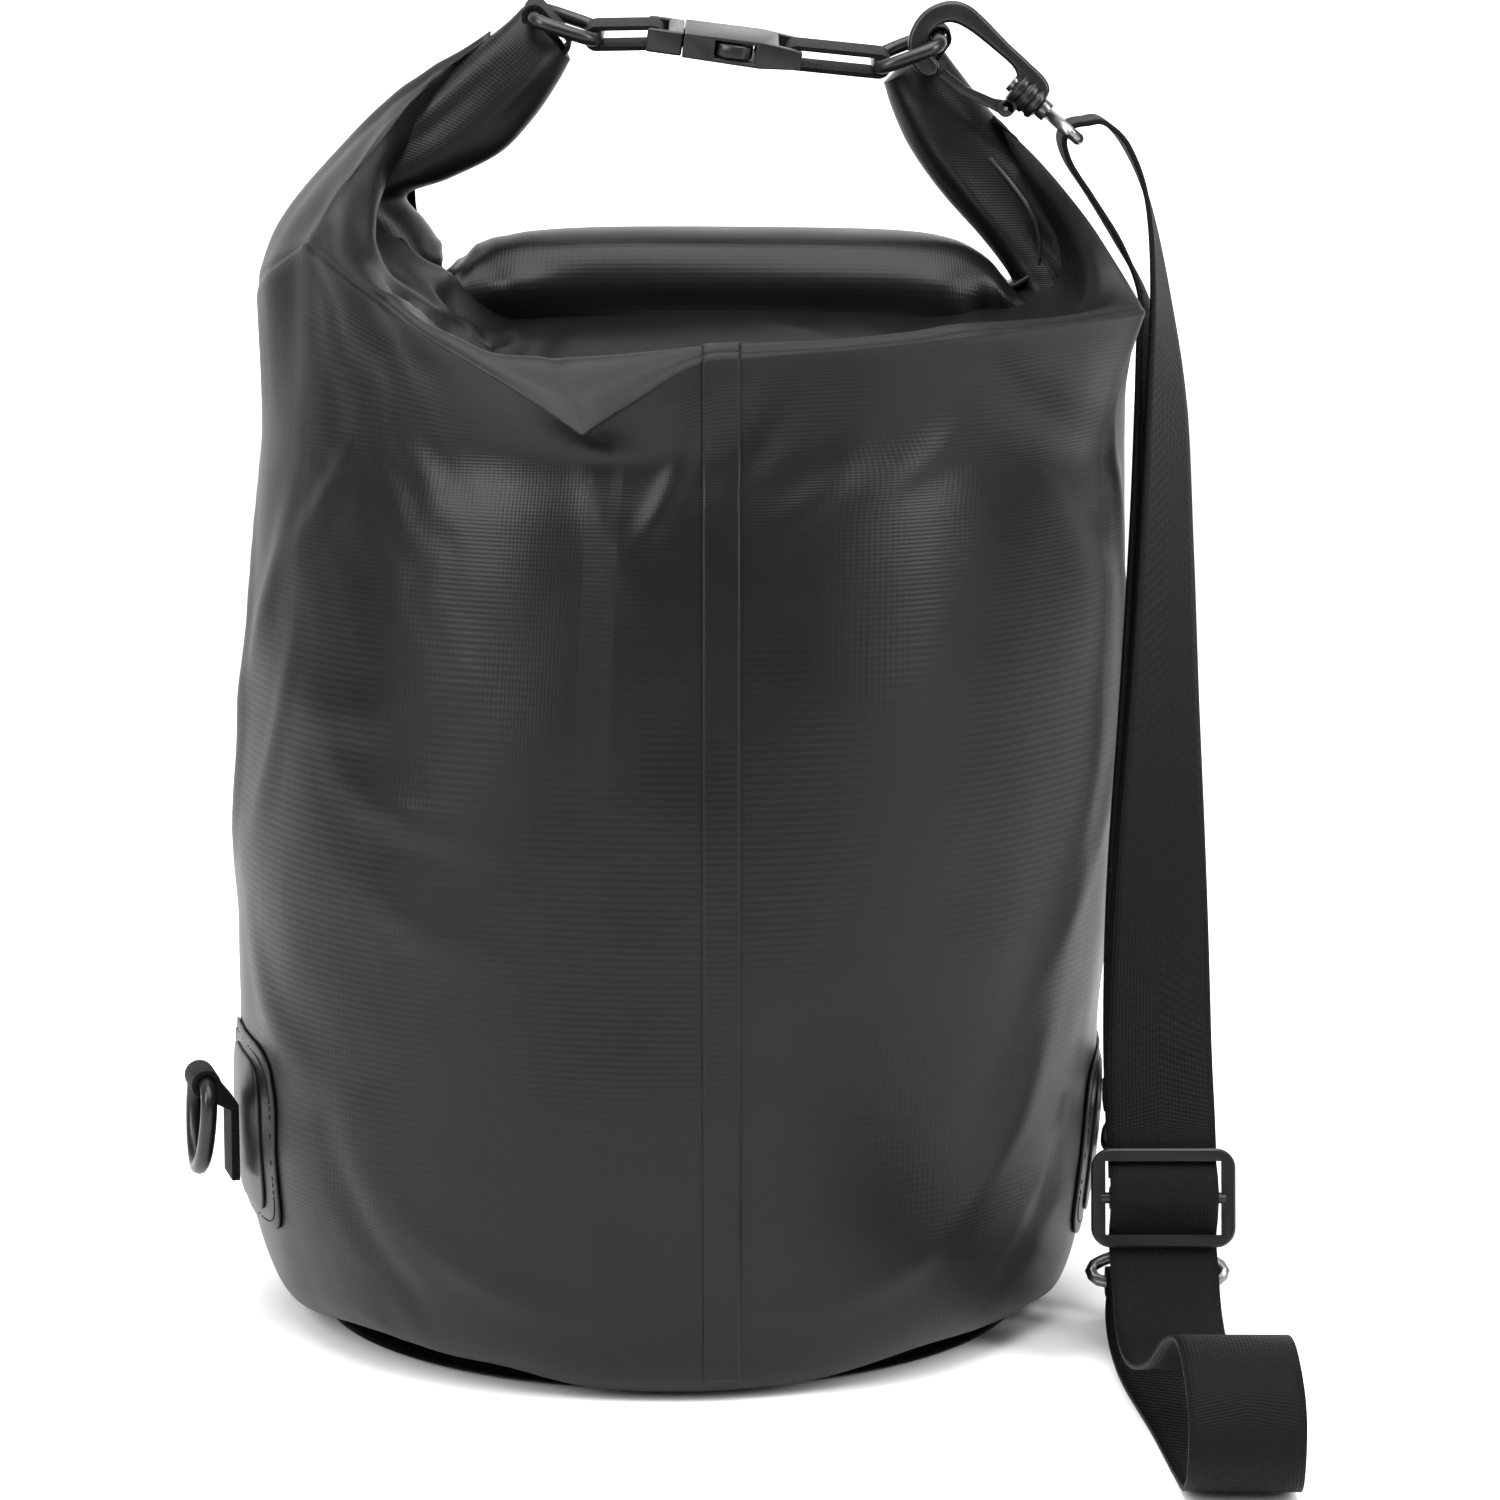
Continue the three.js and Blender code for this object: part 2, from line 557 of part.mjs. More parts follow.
// Centre of the webbing, from the lower eye over the floor, up the front, over the top eye
// and back down behind to the slider's centre bar. The last number turns the width from Y to X.
const STRAP_STOPS = [
  [176.6, -54.8, 14.2, 90], [176.6, -50.4, 15, 90], [176.6, -48.8, 19.2, 90],
  [176.6, -51.6, 22.9, 90], [176.6, -56.4, 22.2, 90], [176.6, -61.5, 17.5, 90],
  [175.6, -69, 10.5, 90], [176, -86, 4.4, 90],
  [178, -120, 2, 92], [184, -175, 1.7, 93], [188, -222, 1.7, 93], [189, -246, 5.5, 92],
  [189, -257, 18, 90], [189, -256, 34, 90], [188, -244, 46, 90], [187, -226, 49.5, 90],
  [185, -203, 42, 90], [182, -178, 27, 88], [179, -150, 17, 88], [177, -124, 14.5, 88],
  [176, -106, 21, 88], [175.5, -96, 33, 89], [175, -90.1, 43.5, 90], [175, -90.2, 48, 90],
  [175, -94.4, 54.6, 90], [175, -96.2, 61, 90], [175, -93.5, 66.4, 90], [175, -84.6, 71.6, 90],
  [175, -82.9, 76, 90], [174.7, -81, 86, 87], [174, -74.5, 115, 78], [175, -59, 165, 62],
  [176.6, -42, 223, 45], [177.8, -28, 280, 34], [178, -18, 333, 25], [176, -11, 371, 13],
  [171, -8, 405, 4], [163, -7.5, 425, 0], [154.5, -7.5, 433.6, 0], [148, -7.5, 433.6, 0],
  [142.8, -7.5, 432.4, 0], [140.1, -7.5, 428, 0], [141, -7.5, 422.5, 0],
  [144, -7.5, 416.5, 0], [150.8, -7.5, 406.5, 0], [161, -7.5, 390, 0], [169.5, -8.5, 372, 6],
  [172.8, -11, 352, 18], [174.8, -15.5, 325, 27], [175, -25, 280, 35],
  [174, -39.6, 223, 46], [172.8, -56, 165, 63], [172.9, -71.4, 115, 79],
  [174, -78, 86, 87], [174.8, -79.8, 76, 90], [175, -83.6, 65.8, 90],
];
const STRAP_STEPS = 170;
const SLIDER_WIDTH = 51;
const SLIDER_HEIGHT = 35;
const SLIDER_BORDER = 5;
const SLIDER_BAR = 2;

function slider() {
  const outer = new THREE.Shape();
  const corner = 7;
  const x = SLIDER_WIDTH / 2 - corner;
  const z = SLIDER_HEIGHT / 2 - corner;
  outer.absarc(x, z, corner, 0, Math.PI / 2);
  outer.absarc(-x, z, corner, Math.PI / 2, Math.PI);
  outer.absarc(-x, -z, corner, Math.PI, 1.5 * Math.PI);
  outer.absarc(x, -z, corner, 1.5 * Math.PI, 2 * Math.PI);
  const plate = new THREE.ExtrudeGeometry(outer, {
    depth: 1.8, bevelEnabled: true, bevelThickness: 0.7, bevelSize: 0.7, bevelOffset: -0.7,
    bevelSegments: 1, curveSegments: 5,
  });
  plate.translate(0, 0, -0.9).rotateX(Math.PI / 2);
  const halfSlot = [SLIDER_WIDTH / 2 - SLIDER_BORDER, SLIDER_HEIGHT / 2 - SLIDER_BORDER + 0.5];
  const slots = box([-halfSlot[0], -5, -halfSlot[1]], [halfSlot[0], 5, halfSlot[1]]);
  return join(cut(plate, slots), rod(SLIDER_BAR, SLIDER_WIDTH - 7, 'x', 12));
}

// The strap's sewn end, wrapped round the slider's centre bar.
function endWrap() {
  const bore = SLIDER_BAR + GAP;
  const wrap = new THREE.Shape();
  wrap.absarc(0, 0, bore + STRAP_THICK, 0, 2 * Math.PI, false);
  const hole = new THREE.Path();
  hole.absarc(0, 0, bore, 0, 2 * Math.PI, false);
  wrap.holes.push(hole);
  const ring = new THREE.ExtrudeGeometry(wrap, {
    depth: STRAP_WIDTH, bevelEnabled: false, curveSegments: 10,
  });
  return ring.translate(0, 0, -STRAP_WIDTH / 2).rotateY(Math.PI / 2);
}

const strap = sweptBand(STRAP_STOPS, STRAP_WIDTH, STRAP_THICK, STRAP_STEPS);
add(bag, 'shoulder_strap', strap, webbing());
const sliderFrame = frameAt(SLIDER, [-SLIDER_LEAN, 0, 0]);
add(sliderFrame, 'strap_slider', slider(), paintedMetal());
add(sliderFrame, 'strap_end_wrap', endWrap(), webbing());

export default bag;
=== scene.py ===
import json
import math
import bmesh
import bpy
from mathutils import Matrix, Vector, noise

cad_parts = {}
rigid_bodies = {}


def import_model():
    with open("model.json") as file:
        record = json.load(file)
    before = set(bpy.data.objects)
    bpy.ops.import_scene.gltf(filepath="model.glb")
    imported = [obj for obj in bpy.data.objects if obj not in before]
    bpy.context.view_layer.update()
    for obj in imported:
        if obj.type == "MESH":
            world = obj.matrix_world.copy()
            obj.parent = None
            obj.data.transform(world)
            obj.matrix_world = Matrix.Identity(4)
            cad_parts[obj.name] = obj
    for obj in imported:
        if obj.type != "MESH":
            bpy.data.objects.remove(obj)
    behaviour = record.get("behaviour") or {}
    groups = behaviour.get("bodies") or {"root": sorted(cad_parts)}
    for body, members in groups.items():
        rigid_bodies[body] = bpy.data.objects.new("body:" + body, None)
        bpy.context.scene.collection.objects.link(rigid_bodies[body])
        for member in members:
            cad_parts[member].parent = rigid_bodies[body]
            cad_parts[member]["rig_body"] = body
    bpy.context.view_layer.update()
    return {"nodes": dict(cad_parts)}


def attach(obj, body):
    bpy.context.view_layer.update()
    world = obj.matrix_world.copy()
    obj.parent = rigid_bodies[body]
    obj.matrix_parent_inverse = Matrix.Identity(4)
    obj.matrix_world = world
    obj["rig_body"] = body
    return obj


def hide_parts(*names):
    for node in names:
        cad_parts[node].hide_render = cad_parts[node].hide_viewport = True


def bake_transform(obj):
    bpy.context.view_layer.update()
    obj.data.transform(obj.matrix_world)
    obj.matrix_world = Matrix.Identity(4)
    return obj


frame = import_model()

MM = 0.001
STRAP_WIDTH = 38 * MM
STRAP_THICK = 1.8 * MM
FABRIC_THICK = 0.35 * MM
BODY_CUT = (0.993, 0.52)   # the body's sheet before it was welded: round the bag, and up to its mouth
BASE_CUT = 0.276           # across the round base sheet
WALL_RADIUS = 157          # mm, turns a distance along the wall into an angle
MERGE = 0.02 * MM          # points closer than this are one point


def mm(*values):
    """A point or size given in millimetres, as metres."""
    return Vector(values) * MM


# ------------------------------------------------------------------ camera and room
def make_camera():
    """A long lens a little above the bag, looking down on it slightly."""
    camera = bpy.data.cameras.new("camera")
    camera.sensor_width = 36
    camera.lens = 120
    camera.clip_end = 20
    holder = bpy.data.objects.new("camera", camera)
    holder.location = mm(29, -1800, 530)
    holder.rotation_euler = (math.radians(79.75), 0, 0)
    bpy.context.collection.objects.link(holder)
    bpy.context.scene.camera = holder


def soft_light(name, place, target, size, power):
    """One large soft lamp, in metres and watts, turned towards its target."""
    lamp = bpy.data.lights.new(name, "AREA")
    lamp.shape = "RECTANGLE"
    lamp.size, lamp.size_y = size
    lamp.energy = power
    holder = bpy.data.objects.new(name, lamp)
    holder.location = place
    holder.rotation_euler = (Vector(target) - Vector(place)).to_track_quat("-Z", "Y").to_euler()
    bpy.context.collection.objects.link(holder)


def make_room():
    """Soft lamps, a pale floor and a bright backdrop."""
    world = bpy.data.worlds.new("studio")
    world.use_nodes = True
    back = world.node_tree.nodes["Background"]
    back.inputs["Color"].default_value = (1, 1, 1, 1)
    back.inputs["Strength"].default_value = 0.34
    bpy.context.scene.world = world
    bpy.context.scene.view_settings.view_transform = "Standard"
    soft_light("left_window", (-1.5, -1.2, 1.3), (0, 0, 0.25), (0.5, 1.6), 44)
    soft_light("right_window", (1.6, -1.0, 1.2), (0, 0, 0.25), (0.45, 1.5), 38)
    soft_light("top_box", (0.0, -0.25, 1.9), (0, 0, 0.35), (1.6, 1.3), 46)
    soft_light("front_box", (0.15, -1.5, 2.1), (0, 0, 0.38), (1.5, 0.7), 24)
    bpy.ops.mesh.primitive_plane_add(size=12, location=(0, 2, 0))
    floor = bpy.context.object
    floor.name = "floor"
    paint = bpy.data.materials.new("floor_paint")
    paint.use_nodes = True
    shader = paint.node_tree.nodes["Principled BSDF"]
    shader.inputs["Base Color"].default_value = (0.93, 0.93, 0.93, 1)
    shader.inputs["Roughness"].default_value = 0.8
    floor.data.materials.append(paint)
    bpy.ops.mesh.primitive_plane_add(size=12, location=(0, 3, 2), rotation=(math.radians(90), 0, 0))
    wall = bpy.context.object
    wall.name = "backdrop"
    glow = bpy.data.materials.new("backdrop_glow")
    glow.use_nodes = True
    shader = glow.node_tree.nodes["Principled BSDF"]
    shader.inputs["Emission Color"].default_value = (1, 1, 1, 1)
    shader.inputs["Emission Strength"].default_value = 0.7
    wall.data.materials.append(glow)


# ------------------------------------------------------------------ material building
class Nodes:
    """Small helper that adds shader nodes to one material."""

    def __init__(self, name):
        self.material = bpy.data.materials.new(name)
        self.material.use_nodes = True
        self.tree = self.material.node_tree
        self.shader = self.tree.nodes["Principled BSDF"]

    def add(self, kind, **settings):
        node = self.tree.nodes.new(kind)
        for key, value in settings.items():
            setattr(node, key, value)
        return node

    def link(self, out, into):
        self.tree.links.new(out, into)

    def math(self, operation, first, second=None):
        node = self.add("ShaderNodeMath", operation=operation)
        for socket, value in zip(node.inputs, (first, second)):
            if value is None:
                continue
            if isinstance(value, (int, float)):
                socket.default_value = value
            else:
                self.link(value, socket)
        return node.outputs[0]

    def coords(self, kind="Object"):
        return self.add("ShaderNodeTexCoord").outputs[kind]

    def split(self, vector):
        node = self.add("ShaderNodeSeparateXYZ")
        self.link(vector, node.inputs[0])
        return node.outputs

    def wave(self, value, pitch):
        return self.math("SINE", self.math("MULTIPLY", value, 2 * math.pi / pitch))

    def noise(self, vector, scale, detail=3.0, rough=0.5):
        node = self.add("ShaderNodeTexNoise")
        node.inputs["Scale"].default_value = scale
        node.inputs["Detail"].default_value = detail
        node.inputs["Roughness"].default_value = rough
        self.link(vector, node.inputs["Vector"])
        return node.outputs["Fac"]

    def ramp(self, factor, low, high, start=0.3, end=0.7):
        node = self.add("ShaderNodeValToRGB")
        node.color_ramp.elements[0].position = start
        node.color_ramp.elements[0].color = (*low, 1)
        node.color_ramp.elements[1].position = end
        node.color_ramp.elements[1].color = (*high, 1)
        self.link(factor, node.inputs["Fac"])
        return node.outputs["Color"]

    def spread(self, factor, low, high):
        node = self.add("ShaderNodeMapRange")
        node.inputs["To Min"].default_value = low
        node.inputs["To Max"].default_value = high
        self.link(factor, node.inputs["Value"])
        return node.outputs["Result"]

    def bump(self, height, distance, strength=1.0, below=None):
        node = self.add("ShaderNodeBump")
        node.inputs["Distance"].default_value = distance
        node.inputs["Strength"].default_value = strength
        self.link(height, node.inputs["Height"])
        if below is not None:
            self.link(below, node.inputs["Normal"])
        return node.outputs["Normal"]

    def finish(self, color, rough, normal):
        self.link(color, self.shader.inputs["Base Color"])
        self.link(rough, self.shader.inputs["Roughness"])
        self.link(normal, self.shader.inputs["Normal"])
        return self.material


def coated_fabric():
    """Dark grey coated tarpaulin: satin skin over a fine woven scrim."""
    n = Nodes("coated_fabric")
    spot = n.coords()
    u, v, _ = n.split(n.coords("UV"))
    threads = n.math("ADD", n.wave(u, 1.7 * MM), n.math("MULTIPLY", n.wave(v, 1.25 * MM), 1.6))
    grain = n.noise(spot, 260, 4)
    cloud = n.noise(spot, 9, 4, 0.6)
    smear = n.noise(spot, 34, 3)
    color = n.ramp(cloud, (0.0022, 0.0022, 0.0024), (0.0040, 0.0040, 0.0043))
    rough = n.math("ADD", n.spread(cloud, 0.33, 0.43), n.spread(smear, -0.04, 0.05))
    weave = n.bump(threads, 0.03 * MM, 0.36)
    skin = n.bump(grain, 0.10 * MM, 0.35, weave)
    soft = n.bump(smear, 1.2 * MM, 0.22, skin)
    n.shader.inputs["Specular IOR Level"].default_value = 0.20
    return n.finish(color, rough, soft)


def webbing():
    """Black webbing: two halves of slanting twill meeting at a centre line."""
    n = Nodes("webbing")
    u, v, _ = n.split(n.coords("UV"))
    aside = n.math("ABSOLUTE", n.math("SUBTRACT", u, 0.5))
    slant = n.math("ADD", v, n.math("MULTIPLY", aside, 9 * MM))
    twill = n.wave(slant, 1.5 * MM)
    warp = n.wave(u, 1 / 30)
    rib = n.math("ADD", n.math("MULTIPLY", twill, 0.6), n.math("MULTIPLY", warp, 0.5))
    fuzz = n.noise(n.coords(), 900, 2)
    # painted highlight and painted shade: the weave's ridges are painted lighter and its grooves darker,
    # following the same relief that drives the bump
    color = n.ramp(n.spread(rib, 0.35, 0.65), (0.0012, 0.0012, 0.0013), (0.0042, 0.0042, 0.0044), 0.1, 0.8)
    rough = n.spread(fuzz, 0.5, 0.72)
    threads = n.bump(rib, 0.16 * MM, 0.8)
    n.shader.inputs["Specular IOR Level"].default_value = 0.09
    n.shader.inputs["Sheen Weight"].default_value = 0.015
    n.shader.inputs["Sheen Roughness"].default_value = 0.4
    return n.finish(color, rough, n.bump(fuzz, 0.08 * MM, 0.5, threads))


def moulded_plastic():
    """Black moulded plastic with a fine spark-eroded grain and rubbed patches."""
    n = Nodes("moulded_plastic")
    spot = n.coords()
    grain = n.noise(spot, 1400, 2)
    rub = n.noise(spot, 60, 4, 0.6)
    color = n.ramp(rub, (0.003, 0.003, 0.0031), (0.007, 0.007, 0.0072))
    n.shader.inputs["Specular IOR Level"].default_value = 0.35
    return n.finish(color, n.spread(rub, 0.27, 0.42), n.bump(grain, 0.05 * MM, 0.4))


def painted_metal():
    """Black painted wire, slightly uneven, smoother in random patches."""
    n = Nodes("painted_metal")
    spot = n.coords()
    flow = n.noise(spot, 180, 3)
    rub = n.noise(spot, 45, 4)
    n.shader.inputs["Specular IOR Level"].default_value = 0.35
    color = n.ramp(rub, (0.0035, 0.0035, 0.0036), (0.0075, 0.0075, 0.0077))
    return n.finish(color, n.spread(rub, 0.25, 0.38), n.bump(flow, 0.08 * MM, 0.35))


def plain_steel():
    """Plated steel wire with fine drawing marks."""
    n = Nodes("plain_steel")
    spot = n.coords()
    marks = n.noise(spot, 700, 2)
    stain = n.noise(spot, 90, 4)
    color = n.ramp(stain, (0.13, 0.13, 0.135), (0.24, 0.24, 0.245))
    n.shader.inputs["Metallic"].default_value = 1
    return n.finish(color, n.spread(stain, 0.22, 0.4), n.bump(marks, 0.03 * MM, 0.3))


# ------------------------------------------------------------------ curves and meshes
def blend_points(points, t):
    """A point on the smooth curve through a list of points; t runs from 0 to 1."""
    last = len(points) - 1
    place = min(max(t, 0.0), 1.0) * last
    i = min(int(place), last - 1)
    f = place - i
    before = points[i - 1] if i > 0 else points[i] * 2 - points[i + 1]
    after = points[i + 2] if i + 2 <= last else points[i + 1] * 2 - points[i]
    a, b = points[i], points[i + 1]
    bend = (before * 2 - a * 5 + b * 4 - after) * f * f
    twist = (a * 3 - before - b * 3 + after) * f * f * f
    return (a * 2 + (b - before) * f + bend + twist) * 0.5


def ring_blend(points, t):
    """The same for a closed ring of points."""
    count = len(points)
    place = (t % 1.0) * count
    i = int(place) % count
    f = place - int(place)
    four = [points[(i + k) % count] for k in (-1, 0, 1, 2)]
    return blend_points(four, (1 + f) / 3)


def new_piece(name, bm, material):
    """A smooth-shaded object made from a finished mesh."""
    mesh = bpy.data.meshes.new(name)
    bm.to_mesh(mesh)
    bm.free()
    piece = bpy.data.objects.new(name, mesh)
    bpy.context.collection.objects.link(piece)
    mesh.materials.append(material)
    mesh.shade_smooth()
    return piece


def mapped_grid(across, along, place, size=(1.0, 1.0)):
    """A grid laid out by place(u, v), both 0..1, with a UV map that measures size metres."""
    bm = bmesh.new()
    bmesh.ops.create_grid(bm, x_segments=across, y_segments=along, size=0.5)
    sheet = bm.loops.layers.uv.new("cloth")
    for face in bm.faces:
        for loop in face.loops:
            u, v = loop.vert.co.x + 0.5, loop.vert.co.y + 0.5
            loop[sheet].uv = (u * size[0], v * size[1])
    for vert in bm.verts:
        vert.co = place(min(max(vert.co.x + 0.5, 0), 1), min(max(vert.co.y + 0.5, 0), 1))
    return bm


def add_modifier(piece, kind, **settings):
    modifier = piece.modifiers.new(kind.lower(), kind)
    for key, value in settings.items():
        setattr(modifier, key, value)


def soften_edges(piece, width, segments, above):
    """Round the edges sharper than an angle in degrees, by a width in millimetres."""
    add_modifier(piece, "BEVEL", width=width * MM, segments=segments, limit_method="ANGLE",
                 angle_limit=math.radians(above))


# ------------------------------------------------------------------ shoulder strap
# The same route as the strap's solid, in millimetres: from the lower eye over the floor, up the
# front, over the top eye and back down behind to the slider. The last number turns the width.
STRAP_STOPS = [
    (176.6, -54.8, 14.2, 90), (176.6, -50.4, 15, 90), (176.6, -48.8, 19.2, 90),
    (176.6, -51.6, 22.9, 90), (176.6, -56.4, 22.2, 90), (176.6, -61.5, 17.5, 90),
    (175.6, -69, 10.5, 90), (176, -86, 4.4, 90),
    (178, -120, 2, 92), (184, -175, 1.7, 93), (188, -222, 1.7, 93), (189, -246, 5.5, 92),
    (189, -257, 18, 90), (189, -256, 34, 90), (188, -244, 46, 90), (187, -226, 49.5, 90),
    (185, -203, 42, 90), (182, -178, 27, 88), (179, -150, 17, 88), (177, -124, 14.5, 88),
    (176, -106, 21, 88), (175.5, -96, 33, 89), (175, -90.1, 43.5, 90), (175, -90.2, 48, 90),
    (175, -94.4, 54.6, 90), (175, -96.2, 61, 90), (175, -93.5, 66.4, 90), (175, -84.6, 71.6, 90),
    (175, -82.9, 76, 90), (174.7, -81, 86, 87), (174, -74.5, 115, 78), (175, -59, 165, 62),
    (176.6, -42, 223, 45), (177.8, -28, 280, 34), (178, -18, 333, 25), (176, -11, 371, 13),
    (171, -8, 405, 4), (163, -7.5, 425, 0), (154.5, -7.5, 433.6, 0), (148, -7.5, 433.6, 0),
    (142.8, -7.5, 432.4, 0), (140.1, -7.5, 428, 0), (141, -7.5, 422.5, 0),
    (144, -7.5, 416.5, 0), (150.8, -7.5, 406.5, 0), (161, -7.5, 390, 0), (169.5, -8.5, 372, 6),
    (172.8, -11, 352, 18), (174.8, -15.5, 325, 27), (175, -25, 280, 35),
    (174, -39.6, 223, 46), (172.8, -56, 165, 63), (172.9, -71.4, 115, 79),
    (174, -78, 86, 87), (174.8, -79.8, 76, 90), (175, -83.6, 65.8, 90),
]
SEWN_STOPS = 5             # the last stops ride with the slider
SEWN_FROM = (len(STRAP_STOPS) - SEWN_STOPS) / (len(STRAP_STOPS) - 1)


def band_piece(name, first, last, steps, material):
    """Flat webbing laid along one share of the route."""
    centres = [mm(x, y, z) for x, y, z, _ in STRAP_STOPS]
    turns = [Vector((turn, 0, 0)) for _, _, _, turn in STRAP_STOPS]
    length = sum((b - a).length for a, b in zip(centres, centres[1:])) * (last - first)
    step = 0.0005

    def place(u, v):
        at = first + v * (last - first)
        ahead, behind = blend_points(centres, min(at + step, 1)), blend_points(centres, max(at - step, 0))
        along = (ahead - behind).normalized()
        turn = math.radians(blend_points(turns, at).x)
        across = Vector((math.sin(turn), math.cos(turn), 0))
        across = (across - along * across.dot(along)).normalized()
        return blend_points(centres, at) + across * (u - 0.5) * STRAP_WIDTH

    bm = mapped_grid(10, steps, place, (1.0, length))
    bmesh.ops.recalc_face_normals(bm, faces=bm.faces)
    piece = new_piece(name, bm, material)
    add_modifier(piece, "SOLIDIFY", thickness=STRAP_THICK, offset=0)
    return piece


# ------------------------------------------------------------------ bag shell
# Angles of the columns round the bag, in degrees: from the left side, past the front and the
# right side, to the back.
COLUMNS = [
    180, 196, 208, 222, 236, 248, 260, 267, 275, 284, 300, 316,
    330, 340, 352, 368, 385, 398, 415, 450, 485, 500, 516,
]
CRISP_COLUMNS = (2, 6, 13)  # columns that carry a sharp ridge: both corners and the dent's tip
BODY_ROWS = [
    # height, centre x, half width, half depth
    (2.2, 0, 128, 125), (2.6, 0, 137, 134), (7, 0, 143.5, 140.5),
    (18, -0.5, 148.5, 145.5), (36, -1.5, 153, 150),
    (60, -2, 157, 154), (110, -0.5, 159, 156.5), (160, 2, 160.5, 157), (215, 4.5, 160.5, 155),
    (270, 6.5, 159, 150), (305, 8, 156.5, 144), (328, 9, 155.5, 139),
]
# Top of the bag, in millimetres, column by column: the edge where the wall folds over, the rim
# behind that edge, and then in to the roll or up an arm.
TOP_COLUMNS = [
    [(-147, 4, 368), (-145.5, 4, 380), (-139, 3, 396), (-124, 2, 416), (-99, 1, 440), (-66, 0, 461)],
    [(-143, -34, 378), (-140, -31, 388), (-131, -26, 404),
     (-114, -19, 424), (-91, -12, 444), (-64, -6, 462)],
    [(-125.5, -62, 393), (-122, -58, 399), (-113, -47, 414),
     (-100, -33, 430), (-86, -17, 446), (-68, -5, 461)],
    [(-107, -91, 383), (-108, -82, 388), (-106, -58, 396),
     (-101, -40, 409), (-95, -20, 421), (-85, -6, 434)],
    [(-83, -116, 369), (-86, -105, 375), (-93, -74, 378),
     (-102, -44, 389), (-106, -26, 400), (-106, -10, 410)],
    [(-55, -136, 355), (-61, -120, 364), (-72, -86, 360),
     (-82, -56, 368), (-88, -36, 380), (-91, -22, 390)],
    [(-27, -152, 339), (-37, -128, 361.5), (-48, -96, 350),
     (-62, -62, 356), (-73, -38, 370), (-78, -20, 380)],
    [(-9, -148, 350), (-14, -131, 363), (-22, -108, 351),
     (-36, -74, 350), (-52, -44, 360), (-57, -8, 368)],
    [(11, -142.5, 361), (10.5, -134, 365), (5, -115, 353),
     (-5, -80, 351), (-20, -46, 361), (-28, -8, 368)],
    [(32, -139, 363), (32, -131, 366), (30, -112, 354), (26, -80, 352), (20, -46, 362), (14, -8, 368)],
    [(70, -129, 365), (70, -121, 368), (68, -103, 356), (66, -74, 354), (64, -46, 362), (62, -8, 368)],
    [(107, -112, 367), (107, -104, 370), (105, -88, 358), (100, -64, 356), (98, -42, 361), (97, -8, 368)],
    [(141, -86, 369), (140, -79, 372), (138, -62, 366), (141, -42, 367), (141, -20, 374), (138, -2, 382)],
    [(166.5, -60, 370), (164, -56, 375), (157, -42, 387),
     (148, -24, 400.5), (134, -6, 417), (117, 6, 434)],
    [(166, -24, 361), (165, -22, 370), (157, -12, 385), (147, -2, 400), (133, 6, 416), (114, 12, 433)],
    [(165, 16, 358), (163, 17, 368), (156, 18, 383), (147, 20, 398), (134, 22, 412), (115, 24, 428)],
    [(150, 62, 358), (147, 60, 368), (140, 54, 379), (135, 46, 388), (131, 38, 395), (127, 26, 402)],
    [(134, 82, 357), (131, 79, 365), (124, 70, 366), (121, 56, 363), (121, 40, 363), (122, 14, 365)],
    [(108, 100, 357), (105, 96, 366), (100, 84, 365), (96, 64, 364), (94, 44, 364), (94, 8, 368)],
    [(10, 124, 357), (10, 118, 366), (10, 104, 363), (10, 76, 360), (10, 48, 364), (10, 8, 368)],
    [(-76, 105, 360), (-72, 101, 368), (-64, 84, 365), (-58, 62, 362), (-56, 42, 366), (-54, 10, 368)],
    [(-108, 84, 364), (-104, 80, 371), (-93, 66, 370), (-85, 50, 367), (-80, 36, 370), (-78, 12, 374)],
    [(-130, 60, 368), (-126, 57, 378), (-116, 48, 388), (-108, 38, 398), (-100, 28, 406), (-92, 14, 412)],
]
# Soft dents and creases: angle, height, slant, length, width and depth, in degrees and mm.
CREASES = [
    (232, 206, -18, 40, 7, 1.8), (240, 190, -14, 30, 6, -1.6), (238, 166, -20, 34, 7, 1.5),
    (226, 236, 8, 50, 10, 1.2), (209, 120, -35, 55, 12, 1.6), (222, 100, 30, 60, 13, -1.4),
    (200, 262, 60, 60, 12, 1.8), (206, 214, 62, 50, 10, 1.6), (216, 310, 52, 46, 9, 1.4),
    (271, 318, 62, 34, 7, 2.2), (283, 330, 50, 30, 7, 1.5), (292, 318, 40, 30, 8, 1.4),
    (262, 306, -66, 44, 9, 1.2), (303, 322, 24, 36, 8, 1.6), (326, 338, -26, 80, 11, 1.6),
    (336, 300, -40, 70, 14, -1.4), (318, 80, 42, 60, 12, 1.6), (332, 60, 58, 50, 10, -1.8),
    (300, 42, 20, 60, 10, 1.4), (246, 44, -24, 60, 10, 1.6), (228, 54, -52, 50, 10, -1.8),
    (350, 250, 84, 120, 9, 1.6), (190, 220, 86, 120, 9, 1.8), (30, 300, 40, 70, 12, 2.2),
    (70, 320, -30, 60, 10, 2.2), (110, 322, 35, 70, 10, 2.2), (150, 300, -40, 70, 12, 2.2),
    (60, 60, 40, 60, 12, 2.0), (95, 45, -30, 60, 11, -2.0), (130, 70, -40, 60, 12, 2.0),
]
# Where the hem lifts: angle, half width in degrees, height in millimetres.
HEM_LIFTS = [
    (222, 22, 9), (246, 9, 3), (312, 16, 7), (336, 14, 6), (60, 20, 6), (120, 18, 5), (170, 15, 4),
]
HEM_REACH = 14             # mm up from the floor over which the lift fades out


def body_ring(row, angles):
    """Points of one body row, an ellipse, at some angles."""
    height, centre, wide, deep = row
    turns = [math.radians(a) for a in angles]
    return [Vector((centre + wide * math.cos(a), deep * math.sin(a), height)) for a in turns]


